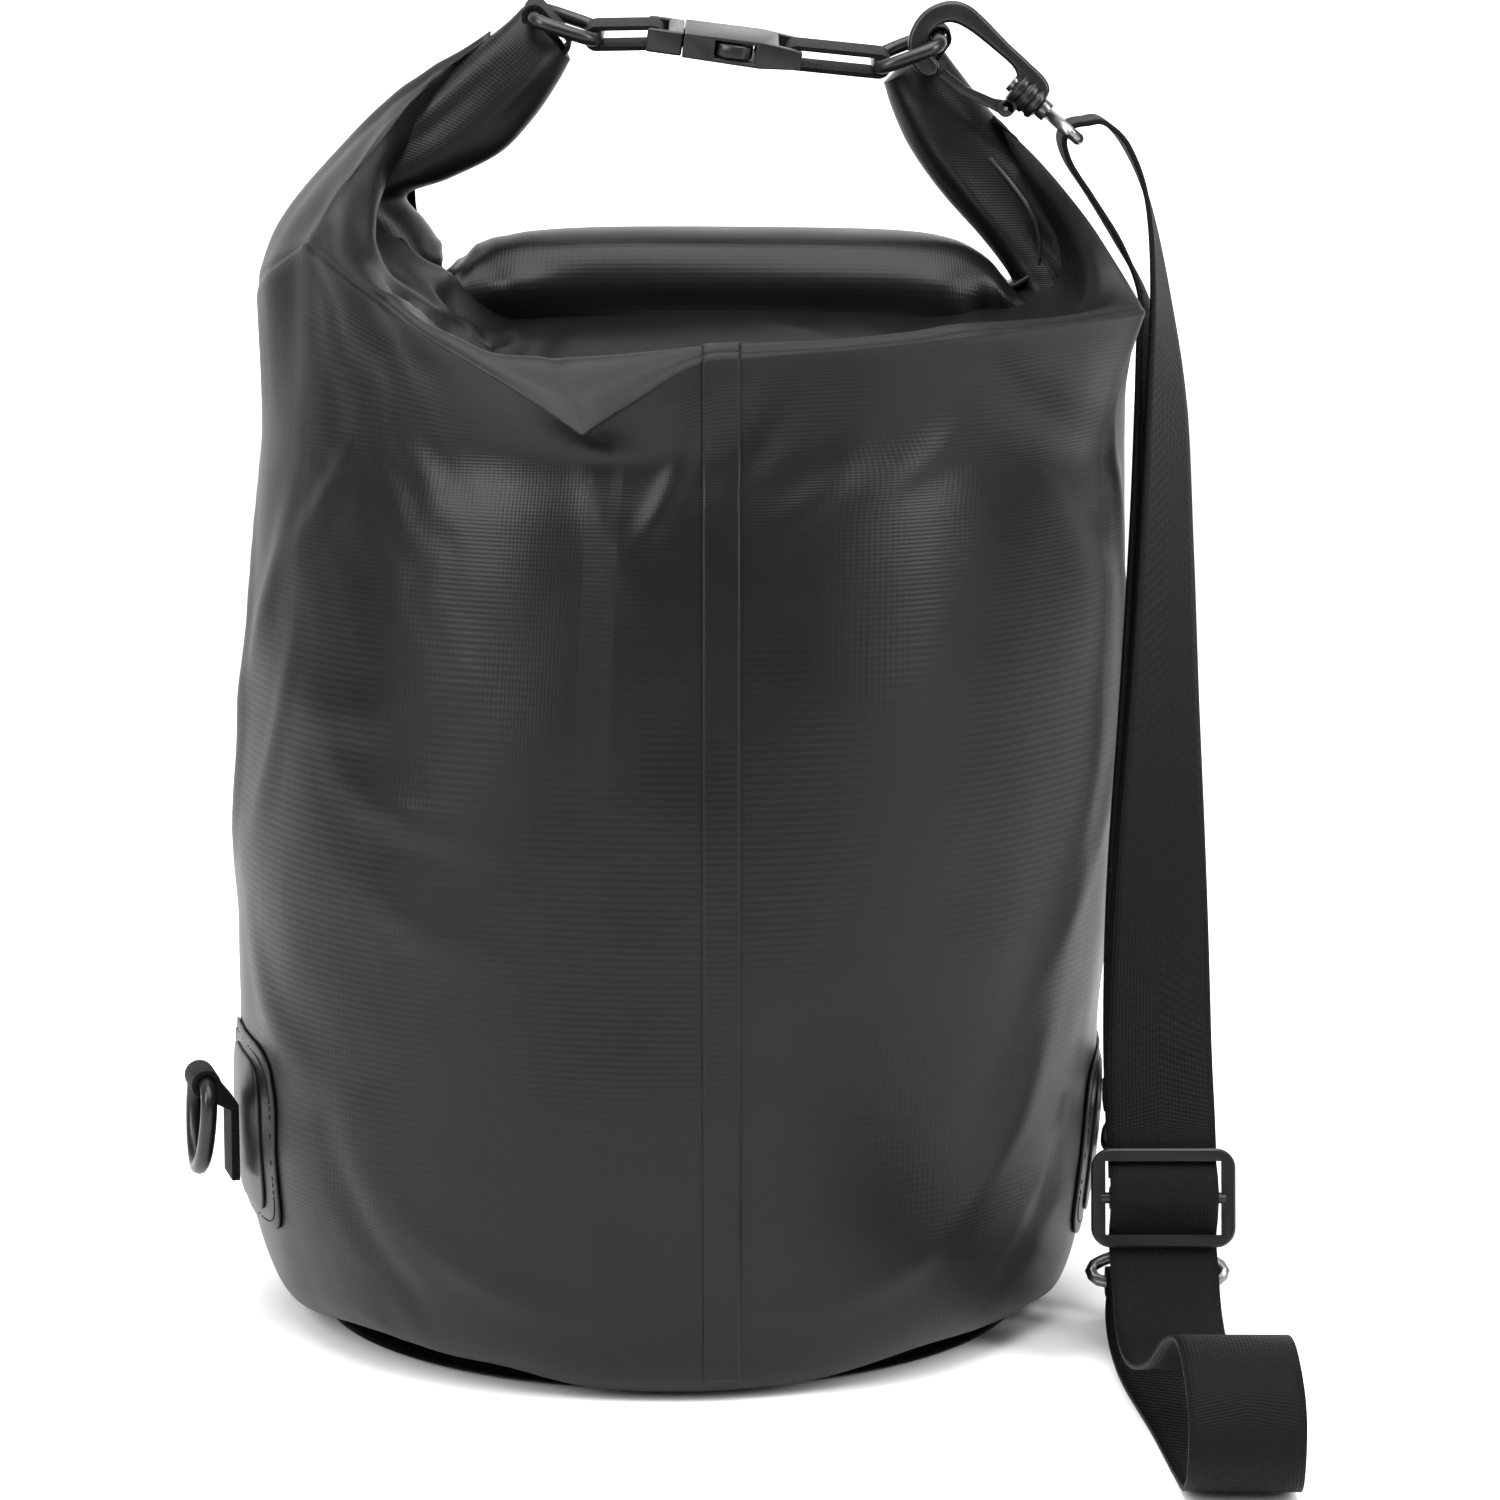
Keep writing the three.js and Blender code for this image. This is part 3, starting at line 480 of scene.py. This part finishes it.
def sharpened(values, mix):
    """The same ring of values with close neighbours added beside each crisp column."""
    near = 0.22
    out = []
    for i, value in enumerate(values):
        if i in CRISP_COLUMNS:
            out += [mix(value, values[i - 1], near), value, mix(value, values[i + 1], near)]
        else:
            out.append(value)
    return out


def top_rows():
    """Rows of the folded top, with extra rows close to the fold so that it stays sharp."""
    rows = [[Vector(column[level]) for column in TOP_COLUMNS] for level in range(6)]
    wall = body_ring(BODY_ROWS[-1], COLUMNS)
    under = [fold.lerp(low, 0.16) for fold, low in zip(rows[0], wall)]
    over = [fold.lerp(rim, 0.4) for fold, rim in zip(rows[0], rows[1])]
    return [sharpened(row, Vector.lerp) for row in [under, rows[0], over] + rows[1:]]


TURNS = sharpened(COLUMNS, lambda a, b, share: a + (b - a) * share)
FULL_TURN = TURNS + [TURNS[0] + 360]
NET = [body_ring(row, TURNS) for row in BODY_ROWS] + top_rows()
BAG_ROWS = len(NET) - 1
BAG_ACROSS = 10 * len(TURNS)  # the mesh has a line of points on every column and row
BAG_UP = 9 * BAG_ROWS


def row_point(row, turn):
    """Point on one row: a true ellipse on the body, a smooth curve through stops above it."""
    if row >= len(BODY_ROWS):
        return ring_blend(NET[row], turn)
    place = (turn % 1.0) * len(TURNS)
    i = int(place)
    angle = FULL_TURN[i] + (FULL_TURN[i + 1] - FULL_TURN[i]) * (place - i)
    return body_ring(BODY_ROWS[row], [angle])[0]


def net_point(turn, level):
    """Point on the smooth bag, in millimetres: turn 0..1 round it, level 0..1 up it."""
    place = min(max(level, 0.0), 1.0) * BAG_ROWS
    i = min(int(place), BAG_ROWS - 1)
    low, high = max(i - 1, 0), min(i + 2, BAG_ROWS)
    stops = [row_point(row, turn) for row in range(low, high + 1)]
    return blend_points(stops, (place - low) / (high - low))


def turn_of(angle):
    """Where a compass angle lies between the uneven columns, as 0..1."""
    a = (angle - TURNS[0]) % 360 + TURNS[0]
    for i, (low, high) in enumerate(zip(FULL_TURN, FULL_TURN[1:])):
        if low <= a <= high:
            return (i + (a - low) / (high - low)) / len(TURNS)
    return 0.0


def level_of(height):
    """Where a height on the body lies between the rows, as 0..1 of the whole bag."""
    rows = [row[0] for row in BODY_ROWS]
    for i, (low, high) in enumerate(zip(rows, rows[1:])):
        if low <= height <= high:
            return (i + (height - low) / (high - low)) / BAG_ROWS
    return (len(rows) - 1) / BAG_ROWS


def degrees_round(point):
    return math.degrees(math.atan2(point.y, point.x)) % 360


def angle_between(angle, at):
    """Signed angle from one to another, the short way round."""
    return (angle - at + 180) % 360 - 180


def crease_depth(point):
    """How far all the creases together push a point of the wall out, in millimetres."""
    angle = degrees_round(point)
    per_degree = 2.75
    total = 0.0
    for at, height, slant, length, width, depth in CREASES:
        round_mm = angle_between(angle, at) * per_degree
        up = point.z - height
        lean = math.radians(slant)
        along = round_mm * math.cos(lean) + up * math.sin(lean)
        over = -round_mm * math.sin(lean) + up * math.cos(lean)
        bowed = over - 0.004 * along * along
        total += depth * math.exp(-(along / length) ** 2 * 2 - (bowed / width) ** 2 * 2)
    return total


def ripple(point):
    """Slow wandering of the fabric, and the bunched folds beside the left arm."""
    slow = noise.noise(point * 0.013) * 1.8 + noise.noise(point * 0.031) * 0.7
    near = math.exp(-((point.x + 74) / 24) ** 2 - ((point.y + 62) / 34) ** 2)
    across = (point.x * 0.75 - point.y * 0.35 + point.z * 0.55) / 17
    bend = noise.noise(point * 0.05) * 1.1
    return slow + math.sin(across * 2 * math.pi + bend * 3) * 4.6 * near


def hem_lift(angle):
    """How far the bottom edge rises off the floor, in millimetres."""
    return sum(high * math.exp(-(angle_between(angle, at) / wide) ** 2) for at, wide, high in HEM_LIFTS)


def lay_out_bag():
    """The bag's surface as rows of points in metres, bottom to top, with creases and ripples."""
    across = range(BAG_ACROSS)
    smooth = [[net_point(i / BAG_ACROSS, j / BAG_UP) for i in across] for j in range(BAG_UP + 1)]
    rows = []
    for j, row in enumerate(smooth):
        above, below = smooth[min(j + 1, BAG_UP)], smooth[max(j - 1, 0)]
        moved = []
        for i, point in enumerate(row):
            side = row[(i + 1) % BAG_ACROSS] - row[i - 1]
            out = side.cross(above[i] - below[i]).normalized()
            low = math.exp(-(point.z / HEM_REACH) ** 2)
            shifted = point + out * (crease_depth(point) + ripple(point)) * (1 - low)
            shifted.z += hem_lift(degrees_round(point)) * low
            moved.append(shifted * MM)
        rows.append(moved)
    return rows


BAG_SURFACE = lay_out_bag()


def bag_surface(turn, level):
    """Point on the creased bag and its outward direction."""
    across, up = (turn % 1.0) * BAG_ACROSS, min(max(level, 0.0), 1.0) * BAG_UP
    i, j = int(across), min(int(up), BAG_UP - 1)
    f, g = across - i, up - j
    low, high = BAG_SURFACE[j], BAG_SURFACE[j + 1]
    i, n = i % BAG_ACROSS, (i + 1) % BAG_ACROSS
    bottom = low[i].lerp(low[n], f)
    top = high[i].lerp(high[n], f)
    side = low[n] - low[i]
    return bottom.lerp(top, g), side.cross(high[i] - low[i]).normalized()


def make_bag_shell(material):
    """The bag's body up to the roll, as one thin shell."""
    bm = mapped_grid(BAG_ACROSS, BAG_UP, lambda u, v: bag_surface(u, v)[0], BODY_CUT)
    bmesh.ops.remove_doubles(bm, verts=bm.verts, dist=MERGE)
    bmesh.ops.recalc_face_normals(bm, faces=bm.faces)
    piece = new_piece("bag_shell", bm, material)
    add_modifier(piece, "SOLIDIFY", thickness=FABRIC_THICK, offset=-1)
    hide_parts("bag_wall")
    return piece


def make_base_disc(material):
    """The round bottom sheet, a little smaller than the hem that hides it."""
    half_width, half_depth = 129, 126
    pinhole = 0.002            # the grid's inner end, filled below

    def place(u, v):
        angle, reach = u * 2 * math.pi, pinhole + v
        dome = 1.4 + 0.8 * (1 - v * v)
        return mm(half_width * reach * math.cos(angle), half_depth * reach * math.sin(angle), dome)

    bm = mapped_grid(96, 24, place, (BODY_CUT[0], BASE_CUT / 2))
    bmesh.ops.remove_doubles(bm, verts=bm.verts, dist=MERGE)
    inner = [e for e in bm.edges if e.is_boundary and e.verts[0].co.length < 0.05]
    bmesh.ops.holes_fill(bm, edges=inner, sides=200)
    bmesh.ops.recalc_face_normals(bm, faces=bm.faces)
    piece = new_piece("base_disc", bm, material)
    add_modifier(piece, "SOLIDIFY", thickness=FABRIC_THICK, offset=0)
    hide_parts("bag_base")
    return piece


def rounded_outline(turn, half_width, half_height):
    """A rectangle with well rounded corners, as a point for each turn round it."""
    corner = 0.42
    across, up = math.cos(turn), math.sin(turn)
    across = math.copysign(abs(across) ** corner, across)
    up = math.copysign(abs(up) ** corner, up)
    return across * half_width, up * half_height


def on_wall(angle, height, across, up, lift):
    """Point and outward direction of a spot on the wall, given in millimetres from a centre."""
    turn = turn_of(angle + math.degrees(across / WALL_RADIUS))
    point, out = bag_surface(turn, level_of(height + up))
    return point + out * lift * MM, out


def wall_patch(name, material, angle, height, half_width, half_height, lift, thick):
    """A rounded rectangle of sheet lying on the bag wall."""
    sides, rings = 96, 12
    bm = bmesh.new()
    flat = {}

    def spot(across, up):
        vert = bm.verts.new(on_wall(angle, height, across, up, lift)[0])
        flat[vert] = (across * MM, up * MM)
        return vert

    middle = spot(0, 0)
    edge = [rounded_outline(2 * math.pi * k / sides, half_width, half_height) for k in range(sides)]
    loops = [[spot(x * r / rings, y * r / rings) for x, y in edge] for r in range(1, rings + 1)]
    for k in range(sides):
        n = (k + 1) % sides
        bm.faces.new((middle, loops[0][k], loops[0][n]))
        for inner, outer in zip(loops, loops[1:]):
            bm.faces.new((inner[k], outer[k], outer[n], inner[n]))
    sheet = bm.loops.layers.uv.new("cloth")
    for face in bm.faces:
        for loop in face.loops:
            loop[sheet].uv = flat[loop.vert]
    bmesh.ops.recalc_face_normals(bm, faces=bm.faces)
    piece = new_piece(name, bm, material)
    add_modifier(piece, "SOLIDIFY", thickness=thick * MM, offset=1)
    soften_edges(piece, 0.3, 2, 50)
    return piece


def make_seam_strip(material):
    """The overlap where the bag's one sheet meets itself, from the hem up to the rim."""
    low, high = level_of(9), (len(BODY_ROWS) + 3) / BAG_ROWS
    left_edge, width = 13 * MM, 13 * MM
    front = turn_of(262), turn_of(296)

    def place(u, v):
        left, right = front
        across = left_edge + width * u
        level = low + v * (high - low)
        for _ in range(14):
            middle = (left + right) / 2
            if bag_surface(middle, level)[0].x < across:
                left = middle
            else:
                right = middle
        point, out = bag_surface(left, level)
        return point + out * 0.15 * MM

    bm = mapped_grid(8, 260, place, (width, 0.37))
    bmesh.ops.recalc_face_normals(bm, faces=bm.faces)
    piece = new_piece("front_seam_strip", bm, material)
    add_modifier(piece, "SOLIDIFY", thickness=0.55 * MM, offset=1)
    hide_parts("seam_tape")
    return piece


def stitch_row(name, material, spots):
    """Short raised stitches; each spot is a point, its outward way and the line's way."""
    bm = bmesh.new()
    size = Matrix.Diagonal((2.0 * MM, 0.55 * MM, 0.5 * MM, 1))
    for point, out, along in spots:
        aside = out.cross(along).normalized()
        turn = Matrix((along.normalized(), aside, out)).transposed().to_4x4()
        place = Matrix.Translation(point) @ turn @ size
        bmesh.ops.create_icosphere(bm, subdivisions=2, radius=0.5, matrix=place)
    return new_piece(name, bm, material)


def patch_stitches(name, material, angle, height, half_width, half_height):
    """Stitches round a rounded rectangle on the wall."""
    pitch = 3.0
    spots = []
    count = int(4 * (half_width + half_height) / pitch)
    previous = None
    for i in range(count + 1):
        across, up = rounded_outline(2 * math.pi * i / count, half_width, half_height)
        point, out = on_wall(angle, height, across, up, 1.35)
        if previous is not None and (point - previous).length > 0.4 * MM:
            spots.append(((point + previous) * 0.5, out, point - previous))
        previous = point
    return stitch_row(name, material, spots)


# ------------------------------------------------------------------ rolled mouth
# Inner edge x and z, outer edge x and z, half depth and how far back, from the left arm's end
# along the roll to the right arm's end.
ROLL_STOPS = [
    (-35, 455, -52, 474, 9, 0), (-40, 447, -60, 467, 12, 0), (-49, 434, -80, 452, 16, 0),
    (-60, 422, -100, 436, 20, 0), (-78, 413, -118, 421, 22, 0), (-94, 407, -128, 407, 22, 0),
    (-88, 398, -132, 392, 22, 0), (-82, 389, -126, 374, 22, 0), (-81, 380, -110, 360, 22, 0),
    (-74, 385, -88, 352, 23, 0), (-62, 391.5, -66, 350, 24, 0), (-35, 394, -38, 349, 24.5, 0),
    (20, 394.5, 20, 349, 25, 0), (75, 394, 78, 349, 24.5, 0), (100, 391, 104, 350, 23, 0),
    (114, 384, 124, 352, 21, 0), (122, 375, 143, 358, 20, 1), (126, 369, 154, 366, 19, 3),
    (122, 378, 157, 378, 18, 6), (112, 391, 150, 391, 17, 9), (99, 406, 140, 406, 16, 12),
    (87, 423, 127, 422, 15, 15), (80, 437, 112, 440, 13, 16), (77, 446, 98.6, 457.6, 9, 16),
]
INNER_EDGE = [Vector((a, back, b)) for a, b, _, _, _, back in ROLL_STOPS]
OUTER_EDGE = [Vector((a, back, b)) for _, _, a, b, _, back in ROLL_STOPS]
HALF_DEPTH = [Vector((deep, 0, 0)) for _, _, _, _, deep, _ in ROLL_STOPS]
# Folds pressed in the roll: place along it, place round it, length, width and depth.
ROLL_FOLDS = [
    (0.43, 0.70, 0.016, 0.035, -4.2), (0.455, 0.77, 0.020, 0.040, 3.4), (0.475, 0.68, 0.020, 0.030, -3.0),
    (0.53, 0.73, 0.070, 0.030, -2.4), (0.545, 0.66, 0.050, 0.025, 1.8), (0.60, 0.76, 0.020, 0.060, 2.4),
    (0.632, 0.71, 0.013, 0.050, -4.0), (0.655, 0.80, 0.012, 0.050, 3.0), (0.12, 0.72, 0.050, 0.030, -2.2),
    (0.06, 0.80, 0.030, 0.030, 1.6), (0.20, 0.66, 0.020, 0.050, -3.0), (0.235, 0.75, 0.018, 0.050, 2.6),
    (0.30, 0.68, 0.016, 0.060, -3.2), (0.34, 0.76, 0.016, 0.060, 2.8), (0.82, 0.73, 0.060, 0.028, -2.6),
    (0.86, 0.82, 0.040, 0.030, 1.8), (0.90, 0.67, 0.030, 0.050, 2.0), (0.77, 0.68, 0.020, 0.050, -2.6),
]


def roll_point(round_turn, along_turn):
    """Point on the roll's puckered skin: round it and along it, both 0..1."""
    inner, outer = blend_points(INNER_EDGE, along_turn), blend_points(OUTER_EDGE, along_turn)
    half = (inner - outer) * 0.5
    angle = round_turn * 2 * math.pi
    c, s = math.cos(angle), math.sin(angle)
    square = 0.82
    rise = math.copysign(abs(c) ** square, c)
    depth = math.copysign(abs(s) ** square, s) * blend_points(HALF_DEPTH, along_turn).x
    bend = noise.noise(Vector((along_turn * 9, c * 1.3, s * 1.3 + 4))) * 1.8
    left_bunch = math.exp(-((along_turn - 0.37) / 0.06) ** 2)
    right_bunch = 0.6 * math.exp(-((along_turn - 0.73) / 0.05) ** 2)
    bunch = left_bunch + right_bunch
    pucker = noise.noise(Vector((along_turn * 50, c * 1.2 + 9, s * 1.2))) * 4.0 * bunch
    fold = sum(high * math.exp(-((along_turn - at) / long) ** 2 - ((round_turn - turn) / wide) ** 2)
               for at, turn, long, wide, high in ROLL_FOLDS)
    swell = 1 + (bend + pucker + fold) / 24
    return ((inner + outer) * 0.5 + half * rise * swell + Vector((0, depth * swell, 0))) * MM


def make_roll(material):
    """The mouth rolled down over its strip, with both ends drawn up into the handle's arms."""
    bm = mapped_grid(72, 200, roll_point, (0.14, 0.49))
    bmesh.ops.remove_doubles(bm, verts=bm.verts, dist=MERGE)
    ends = [e for e in bm.edges if e.is_boundary]
    caps = bmesh.ops.holes_fill(bm, edges=ends, sides=200)["faces"]
    for _ in range(3):
        bmesh.ops.inset_region(bm, faces=caps, thickness=2.2 * MM, depth=-0.7 * MM)
    bmesh.ops.recalc_face_normals(bm, faces=bm.faces)
    piece = new_piece("rolled_mouth", bm, material)
    soften_edges(piece, 1.2, 3, 50)
    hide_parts("roll_top")
    return piece


# ------------------------------------------------------------------ hardware
def add_projected_uv(bm, across, along, width):
    """A UV map across and along a piece of webbing, for its weave."""
    sheet = bm.loops.layers.uv.new("cloth")
    middle = sum((v.co for v in bm.verts), Vector()) / len(bm.verts)
    for face in bm.faces:
        for loop in face.loops:
            offset = loop.vert.co - middle
            loop[sheet].uv = (offset.dot(Vector(across)) / width + 0.5, offset.dot(Vector(along)))


def ride_as(piece, node):
    """Let a piece ride on the body that its solid belongs to."""
    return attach(piece, frame["nodes"][node]["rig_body"])


def refined(node, material, edge, uv=None):
    """A finer copy of a solid: merged, with edges rounded by some millimetres and smooth faces."""
    source = frame["nodes"][node]
    bm = bmesh.new()
    bm.from_mesh(source.data)
    bmesh.ops.remove_doubles(bm, verts=bm.verts, dist=0.005 * MM)
    bmesh.ops.dissolve_limit(bm, angle_limit=math.radians(1), verts=bm.verts, edges=bm.edges)
    if uv:
        add_projected_uv(bm, *uv)
    piece = new_piece(node + "_made", bm, material)
    add_modifier(piece, "BEVEL", width=edge * MM, segments=3, limit_method="ANGLE",
                 angle_limit=math.radians(38), harden_normals=True)
    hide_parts(node)
    return piece


# A hook seen from its side, in millimetres: x towards its swivel, z away from its gate.
HOOK_OUTLINE = [
    (7, 5), (3, 8.6), (-6, 9.4), (-16, 9.8), (-27, 10.9), (-35, 10.9), (-41, 8), (-45, 2),
    (-46, -5), (-43.5, -12.5), (-37.5, -17.8), (-31, -18.6), (-28.2, -15.5), (-29.8, -11.8),
    (-34.6, -10.6), (-38.3, -7.2), (-38.9, -2.6), (-36.4, 2.0), (-30, 4.2), (-18, 4.7),
    (-8, 4.2), (-3.6, 0), (-3, -4.6), (7, -4.8),
]
HOOK_THICK = 6.4
# The ribbed barrel round the swivel: place along the hook, and radius.
BARREL = [
    (-4, 5.2), (-3.4, 6.2), (-1.2, 6.2), (-0.6, 5.5), (0.2, 5.5), (0.8, 6.4),
    (3.0, 6.4), (3.6, 5.5), (4.4, 5.5), (5.0, 6.2), (6.6, 6.0), (7.0, 5.2),
]
GATE_PIVOT = (-1.5, -8.4)
EAR_OUT = 2.65             # an ear's middle from the hook's middle
EAR_THICK = 1.1
TOP_HOOK_PLACE = Matrix.Translation(mm(126.5, -7.5, 443.5)) @ Matrix.Rotation(math.radians(40), 4, "Y")
LOWER_AXES = Matrix(((0, 0, 1), (-0.6298, 0.7768, 0), (-0.7768, -0.6298, 0))).to_4x4()
LOWER_HOOK_PLACE = Matrix.Translation(mm(176.6, -38.5, 37)) @ LOWER_AXES


def add_bow(bm):
    """The hook's bow: its outline, drawn out to its thickness, with well rounded edges."""
    outline = [Vector((x, -HOOK_THICK / 2, z)) for x, z in HOOK_OUTLINE]
    steps = 4 * len(outline)
    rim = [bm.verts.new(ring_blend(outline, i / steps) * MM) for i in range(steps)]
    raised = bmesh.ops.extrude_face_region(bm, geom=[bm.faces.new(rim)])["geom"]
    far_side = [v for v in raised if isinstance(v, bmesh.types.BMVert)]
    bmesh.ops.translate(bm, verts=far_side, vec=mm(0, HOOK_THICK, 0))
    sharp = [edge for edge in bm.edges if any(len(face.verts) > 8 for face in edge.link_faces)]
    bmesh.ops.bevel(bm, geom=sharp, offset=1.7 * MM, offset_type="OFFSET", segments=4,
                    affect="EDGES", profile=0.5, material=-1, clamp_overlap=True)


def add_barrel(bm):
    """The barrel, spun round the swivel's axis and closed at both ends."""
    profile = [bm.verts.new(mm(x, radius, 0)) for x, radius in BARREL]
    lines = [bm.edges.new(pair) for pair in zip(profile, profile[1:])]
    bmesh.ops.spin(bm, geom=profile + lines, cent=(0, 0, 0), axis=(1, 0, 0), angle=2 * math.pi,
                   steps=32, use_merge=True)
    bmesh.ops.holes_fill(bm, edges=[e for e in bm.edges if e.is_boundary], sides=40)


def add_ears(bm):
    """Two ears that hold the gate's pin, each a disc on a short foot."""
    across, height = GATE_PIVOT
    upright = Matrix.Rotation(math.radians(90), 4, "X")
    foot = Matrix.Diagonal((5 * MM, EAR_THICK * MM, 5.4 * MM, 1))
    for side in (EAR_OUT, -EAR_OUT):
        bmesh.ops.create_cone(bm, cap_ends=True, segments=28, radius1=3 * MM, radius2=3 * MM,
                              depth=EAR_THICK * MM,
                              matrix=Matrix.Translation(mm(across, side, height)) @ upright)
        bmesh.ops.create_cube(bm, size=1, matrix=Matrix.Translation(mm(across + 0.5, side, -5.7)) @ foot)


def make_hook(name, place, material):
    """Moulded snap hook: a rounded bow, a ribbed barrel for the swivel and two ears for the gate."""
    bm = bmesh.new()
    add_bow(bm)
    add_barrel(bm)
    add_ears(bm)
    bmesh.ops.recalc_face_normals(bm, faces=bm.faces)
    bmesh.ops.transform(bm, matrix=place, verts=bm.verts)
    piece = new_piece(name + "_moulding", bm, material)
    soften_edges(piece, 0.25, 2, 42)
    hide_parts(name)
    return ride_as(piece, name)


HARD_NODES = {
    "moulded_plastic": ["buckle_male", "buckle_female", "buckle_prong_near", "buckle_prong_far",
                        "top_hook_gate", "lower_hook_gate", "stiffener_strip"],
    "painted_metal": ["left_handle_ring", "right_handle_ring", "left_d_ring", "right_d_ring",
                      "strap_slider"],
    "plain_steel": ["top_hook_eye", "lower_hook_eye", "top_hook_gate_pin", "lower_hook_gate_pin"],
}
# Each webbing loop that reaches from the bag to a buckle half: the half, and the blend's start and
# end in millimetres.
BUCKLE_LOOPS = {
    "left_buckle_webbing": ("buckle_male", (-23, 0, 463.4), (-9, 0, 463.9)),
    "right_buckle_webbing": ("buckle_female", (72, 0, 454.5), (49, 0, 457)),
}
# How far edges are rounded, in millimetres, where it isn't the usual amount.
EDGES = {
    "top_hook_gate": 1.1, "lower_hook_gate": 1.1, "buckle_male": 0.9, "buckle_female": 1.6,
    "buckle_prong_near": 0.8, "buckle_prong_far": 0.8, "strap_slider": 0.9,
}
USUAL_EDGE = 0.4
# Narrow webbing: the way across it, the way along it and its width.
WEB_NODES = {
    "left_buckle_webbing": ((0, 1, 0), (1, 0, 0), 20 * MM),
    "right_buckle_webbing": ((0, 1, 0), (1, 0, 0), 20 * MM),
    "left_end_tab": ((0, 1, 0), (0.6, 0, -0.8), 18 * MM),
    "right_end_tab": ((0, 1, 0), (0.6, 0, 0.8), 11 * MM),
    "left_ring_keeper": ((0.26, -0.97, 0), (0, 0, 1), 18 * MM),
    "right_ring_keeper": ((0, 1, 0), (0, 0, 1), 18 * MM),
    "strap_end_wrap": ((1, 0, 0), (0, 0, 1), 38 * MM),
}
# The two welded patches: angle round the bag, and height of the middle in millimetres.
PATCHES = {"left": (195, 75), "right": (358, 64)}


def make_strap(web):
    """The strap is laid in place along its route, and its sewn end follows the slider."""
    strap = band_piece("shoulder_strap_webbing", 0, SEWN_FROM, 560, web)
    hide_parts("shoulder_strap")
    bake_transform(strap)
    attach(band_piece("strap_sewn_end", SEWN_FROM - 0.002, 1, 60, web), "slider")


def make_bag(fabric, web):
    """The bag's body, roll, seam and base, and the patches with their padding and stitches."""
    shell = make_bag_shell(fabric)
    roll = make_roll(fabric)
    base = make_base_disc(fabric)
    seam = make_seam_strip(fabric)
    pieces = [shell, roll, seam, base]
    for side, (angle, height) in PATCHES.items():
        patch = wall_patch(f"{side}_patch_sheet", fabric, angle, height, 40, 34, 0.3, 1.0)
        pad = wall_patch(f"{side}_patch_padding", fabric, angle, height, 27, 27, 1.2, 1.1)
        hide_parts(f"{side}_patch")
        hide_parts(f"{side}_patch_pad")
        thread = patch_stitches(f"{side}_patch_stitches", web, angle, height, 36.5, 30.5)
        pieces += [patch, pad]
        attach(thread, "root")
    for piece in pieces:
        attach(piece, "root")


def make_hardware(finishes):
    """Rings, buckle, slider, gates, pins and eyes, and then the two hooks."""
    for slot, nodes in HARD_NODES.items():
        for node in nodes:
            piece = ride_as(refined(node, finishes[slot], EDGES.get(node, USUAL_EDGE)), node)
    for name, place in (("top_hook", TOP_HOOK_PLACE), ("lower_hook", LOWER_HOOK_PLACE)):
        make_hook(name, place, finishes["moulded_plastic"])


def make_narrow_webbing(web):
    """The tabs, keepers, buckle loops and the wrap round the slider's bar."""
    for node, uv in WEB_NODES.items():
        piece = refined(node, web, 0.3, uv)
        if node in BUCKLE_LOOPS:
            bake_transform(piece)
        else:
            ride_as(piece, node)


def main():
    make_camera()
    finishes = {
        "coated_fabric": coated_fabric(), "webbing": webbing(), "moulded_plastic": moulded_plastic(),
        "painted_metal": painted_metal(), "plain_steel": plain_steel(),
    }
    make_strap(finishes["webbing"])
    make_room()
    make_bag(finishes["coated_fabric"], finishes["webbing"])
    make_hardware(finishes)
    make_narrow_webbing(finishes["webbing"])


main()
